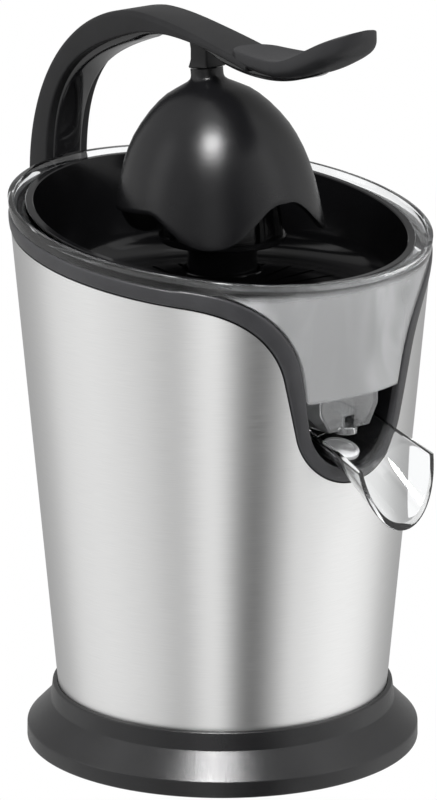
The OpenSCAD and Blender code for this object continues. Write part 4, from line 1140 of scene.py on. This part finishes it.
class PRESS_OT_reamer(Operator):
    """Ribbed reamer on its flange, with the skirt around the chimney"""
    bl_idname = "press.reamer"
    bl_label = "Reamer"

    def execute(self, context):
        side = [reamer_side(i / 24, 24) for i in range(24, -1, -1)]
        line = side + [(27.4, 232), (28, 231.4), (28, 229.6), (27.4, 229), (15.3, 229), (15.3, 208.4),
                       (14.9, 208), (13.7, 208), (13.3, 208.4), (13.3, 226), (0, 226)]
        obj = lathe("reamer_ribbed", line, 160)
        rings, steps = [], 25
        for n in range(steps):
            r, z = reamer_side(n / steps, 27)
            root = max(reamer_side(n / steps, 22)[0] - 1, 0)
            flank = max(r - 0.9, 0)
            half = 1.7 * (1 - 0.5 * n / steps)
            rings.append([(root, -half, z - 0.4), (flank, -half, z), (r, 0, z), (flank, half, z),
                          (root, half, z - 0.4)])
        ribs = repeat(loft("ribs", rings), dome().ribs, finish("dome"), radians(18))
        join(obj, ribs)
        place(obj, "reamer", "dome", "satin_black", "reamer_cone", sharp=40)
        return {"FINISHED"}


class PRESS_OT_windings(Operator):
    """Copper coils at both ends of the stator"""
    bl_idname = "press.windings"
    bl_label = "Motor windings"

    def execute(self, context):
        axis = (-25.98, 24.375, 0)
        ends = ((34.0, 41.9), (72.1, 80.0))
        obj = join(*(repeat(self.coil(*end), 6, finish("copper"), 0.3, axis) for end in ends))
        obj.name = "motor_coils"
        place(obj, "housing", "copper", "copper_enamel", "motor_windings", sharp=50)
        return {"FINISHED"}

    def coil(self, low, high):
        """One bent coil between two heights, beside the axis."""
        middle, span = (low + high) / 2, (high - low) / 2
        bends, sides = 12, 10
        rings = []
        for i in range(bends + 1):
            t = radians(-25 + 50 * i / bends)
            lift = cos(radians(-90 + 180 * i / bends))
            ring = []
            for j in range(sides):
                b = tau * j / sides
                r = 20.6 + 3.6 * cos(b)
                z = middle + (span * 0.55 + 1.2 * lift) * sin(b)
                ring.append((r * cos(t), r * sin(t), z))
            rings.append(ring)
        return loft("coil", rings)


class PRESS_OT_finishes(Operator):
    """Materials of the solids that no piece stands for"""
    bl_idname = "press.finishes"
    bl_label = "Inner parts' finishes"

    def execute(self, context):
        table = {
            "hidden": ("base_plate", "inner_tub", "hinge_bracket"),
            "rubber": ("foot_ring", "cord_gland"),
            "grey rubber": ("lip_seal", "tilt_bush"),
            "nylon": ("gearbox_housing", "gearbox_cover"),
            "acetal": ("output_gear", "idler_gear"),
            "fan": ("cooling_fan",),
            "phenolic": ("microswitch",),
            "brass": ("switch_lever", "shaft_bush", "motor_pinion"),
            "laminated": ("motor_stator", "motor_rotor"),
            "cast": ("motor_cap_lower", "motor_cap_upper"),
            "bright": ("gearbox_screws", "idler_pin", "motor_screws", "return_spring", "thrust_pin",
                       "drive_shaft", "motor_shaft", "hinge_pin", "hinge_screws", "handle_dowels",
                       "dome_pin"),
        }
        for look, names in table.items():
            for name in names:
                dress(NODES[name], look)
        return {"FINISHED"}


class PRESS_OT_stage(Operator):
    """Pale floor, soft lamps, white surroundings and the camera"""
    bl_idname = "press.stage"
    bl_label = "Stage"

    def execute(self, context):
        self.ground()
        self.surroundings(context.scene)
        self.lamps()
        self.camera(context.scene)
        return {"FINISHED"}

    def ground(self):
        reach, low = 4, -0.0005
        mesh = bpy.data.meshes.new("floor")
        corners = [(x * reach, y * reach, low) for x, y in ((-1, -1), (1, -1), (1, 1), (-1, 1))]
        mesh.from_pydata(corners, [], [(0, 1, 2, 3)])
        floor = show("floor", mesh)
        pale = new_material("Pale floor", Base_Color=(0.93, 0.93, 0.93), Roughness=0.9)
        tree = pale.node_tree
        glow = node(tree, "ShaderNodeEmission", (1, 1, 1, 1))
        mix_shaders(tree, seen_directly(tree), shader_of(pale), glow)
        mesh.materials.append(pale)
        floor.visible_glossy = False

    def surroundings(self, scene):
        world = bpy.data.worlds.new("Studio")
        scene.world = world
        world.use_nodes = True
        tree = world.node_tree
        x, y, _ = axes(tree, "Generated")
        turn = maths(tree, "MULTIPLY_ADD", maths(tree, "ARCTAN2", x, y), 1 / tau, 0.5)
        bands = ramp(tree, turn, [(at, (level,) * 3) for at, level in studio_bands()])
        colour_seen = mix_colour(tree, seen_directly(tree), bands, (1, 1, 1, 1))
        feed(tree.nodes["Background"].inputs["Color"], colour_seen)

    def lamps(self):
        for name, azimuth, elevation, far, size, power in (
            ("Key softbox", -50, 57, 1.1, (0.26, 0.3), 19.0),
            ("Left softbox", -120, 25, 1.4, (0.5, 1.0), 1.5),
            ("Right softbox", 30, 25, 1.4, (0.5, 1.0), 1.2),
            ("Top softbox", 0, 88, 1.3, (0.7, 0.7), 1.2),
        ):
            data = bpy.data.lights.new(name, "AREA")
            data.shape = "RECTANGLE"
            data.size, data.size_y = size
            data.energy = power
            lamp = self.aim(name, data, azimuth, elevation, far, 0.2)
            lamp.visible_camera = False

    def camera(self, scene):
        data = bpy.data.cameras.new("Camera")
        data.sensor_width = 36
        data.lens = 203.35
        data.shift_x = -0.0050
        data.shift_y = 0.0159
        scene.camera = self.aim("Camera", data, CAMERA_AZIMUTH, 15.36, 2.0, 0.150)
        scene.view_settings.view_transform = "Standard"

    def aim(self, name, data, azimuth, elevation, far, height):
        """Turns a lamp or the camera to a height on the object's axis, from some way off.

        The azimuth is from the front and the elevation from the floor, in degrees.
        """
        a, e = radians(azimuth), radians(elevation)
        back = Vector((sin(a) * cos(e), -cos(a) * cos(e), sin(e)))
        obj = show(name, data)
        obj.location = Vector((0, 0, height)) + back * far
        obj.rotation_mode = "QUATERNION"
        obj.rotation_quaternion = back.to_track_quat("Z", "Y")
        return obj


def studio_bands():
    """Brightness of the surroundings around the object, by the angle from the camera's side."""
    bands = [(-180, 0.42), (-150, 0.45), (-128, 0.6), (-110, 0.95), (-83, 1.0), (-60, 0.9), (-45, 0.78),
             (-35, 0.6), (-26, 0.5), (-17, 0.75), (-9, 1.0), (-2, 1.0), (4, 0.6), (11, 0.15), (17, 0.05),
             (25, 0.08), (33, 0.4), (42, 0.65), (55, 0.95), (75, 1.15), (95, 1.2), (112, 1.05), (128, 0.65),
             (150, 0.45), (179, 0.42)]
    stops = []
    for angle, level in bands:
        a = radians(angle + CAMERA_AZIMUTH)
        stops.append(((atan2(sin(a), -cos(a)) / tau + 0.5) % 1.0, level))
    return sorted(stops)


# ---------------------------------------------------------------- panel


STEPS = (
    PRESS_OT_shell, PRESS_OT_trim, PRESS_OT_stand, PRESS_OT_screws, PRESS_OT_collector, PRESS_OT_strainer,
    PRESS_OT_dome, PRESS_OT_post, PRESS_OT_arm, PRESS_OT_liner, PRESS_OT_grip, PRESS_OT_spout,
    PRESS_OT_stopper, PRESS_OT_reamer, PRESS_OT_windings, PRESS_OT_finishes, PRESS_OT_stage,
)


class PRESS_PT_panel(Panel):
    """Sizes, colours and steps of the citrus press"""
    bl_idname = "PRESS_PT_panel"
    bl_label = "Citrus press"
    bl_space_type = "VIEW_3D"
    bl_region_type = "UI"
    bl_category = "Press"

    def draw(self, context):
        for title, group in (("Housing", housing()), ("Handle", handle()), ("Dome and reamer", dome()),
                             ("Clear parts", clear())):
            box = self.layout.box()
            box.label(text=title)
            for key in group.__annotations__:
                box.prop(group, key)
        for step in STEPS:
            self.layout.operator(step.bl_idname)


GROUPS = {
    "press_housing": PressHousingSettings,
    "press_handle": PressHandleSettings,
    "press_dome": PressDomeSettings,
    "press_clear": PressClearSettings,
}


def register():
    for kind in (*GROUPS.values(), *STEPS, PRESS_PT_panel):
        bpy.utils.register_class(kind)
    for name, kind in GROUPS.items():
        setattr(Scene, name, PointerProperty(type=kind))


def unregister():
    for name in GROUPS:
        delattr(Scene, name)
    for kind in (PRESS_PT_panel, *reversed(STEPS), *GROUPS.values()):
        bpy.utils.unregister_class(kind)


def main():
    register()
    for step in STEPS:
        _, _, name = step.bl_idname.partition(".")
        result = getattr(bpy.ops.press, name)()
        if result != {"FINISHED"}:
            raise RuntimeError(f"{step.bl_label} didn't finish")


if __name__ == "__main__":
    main()
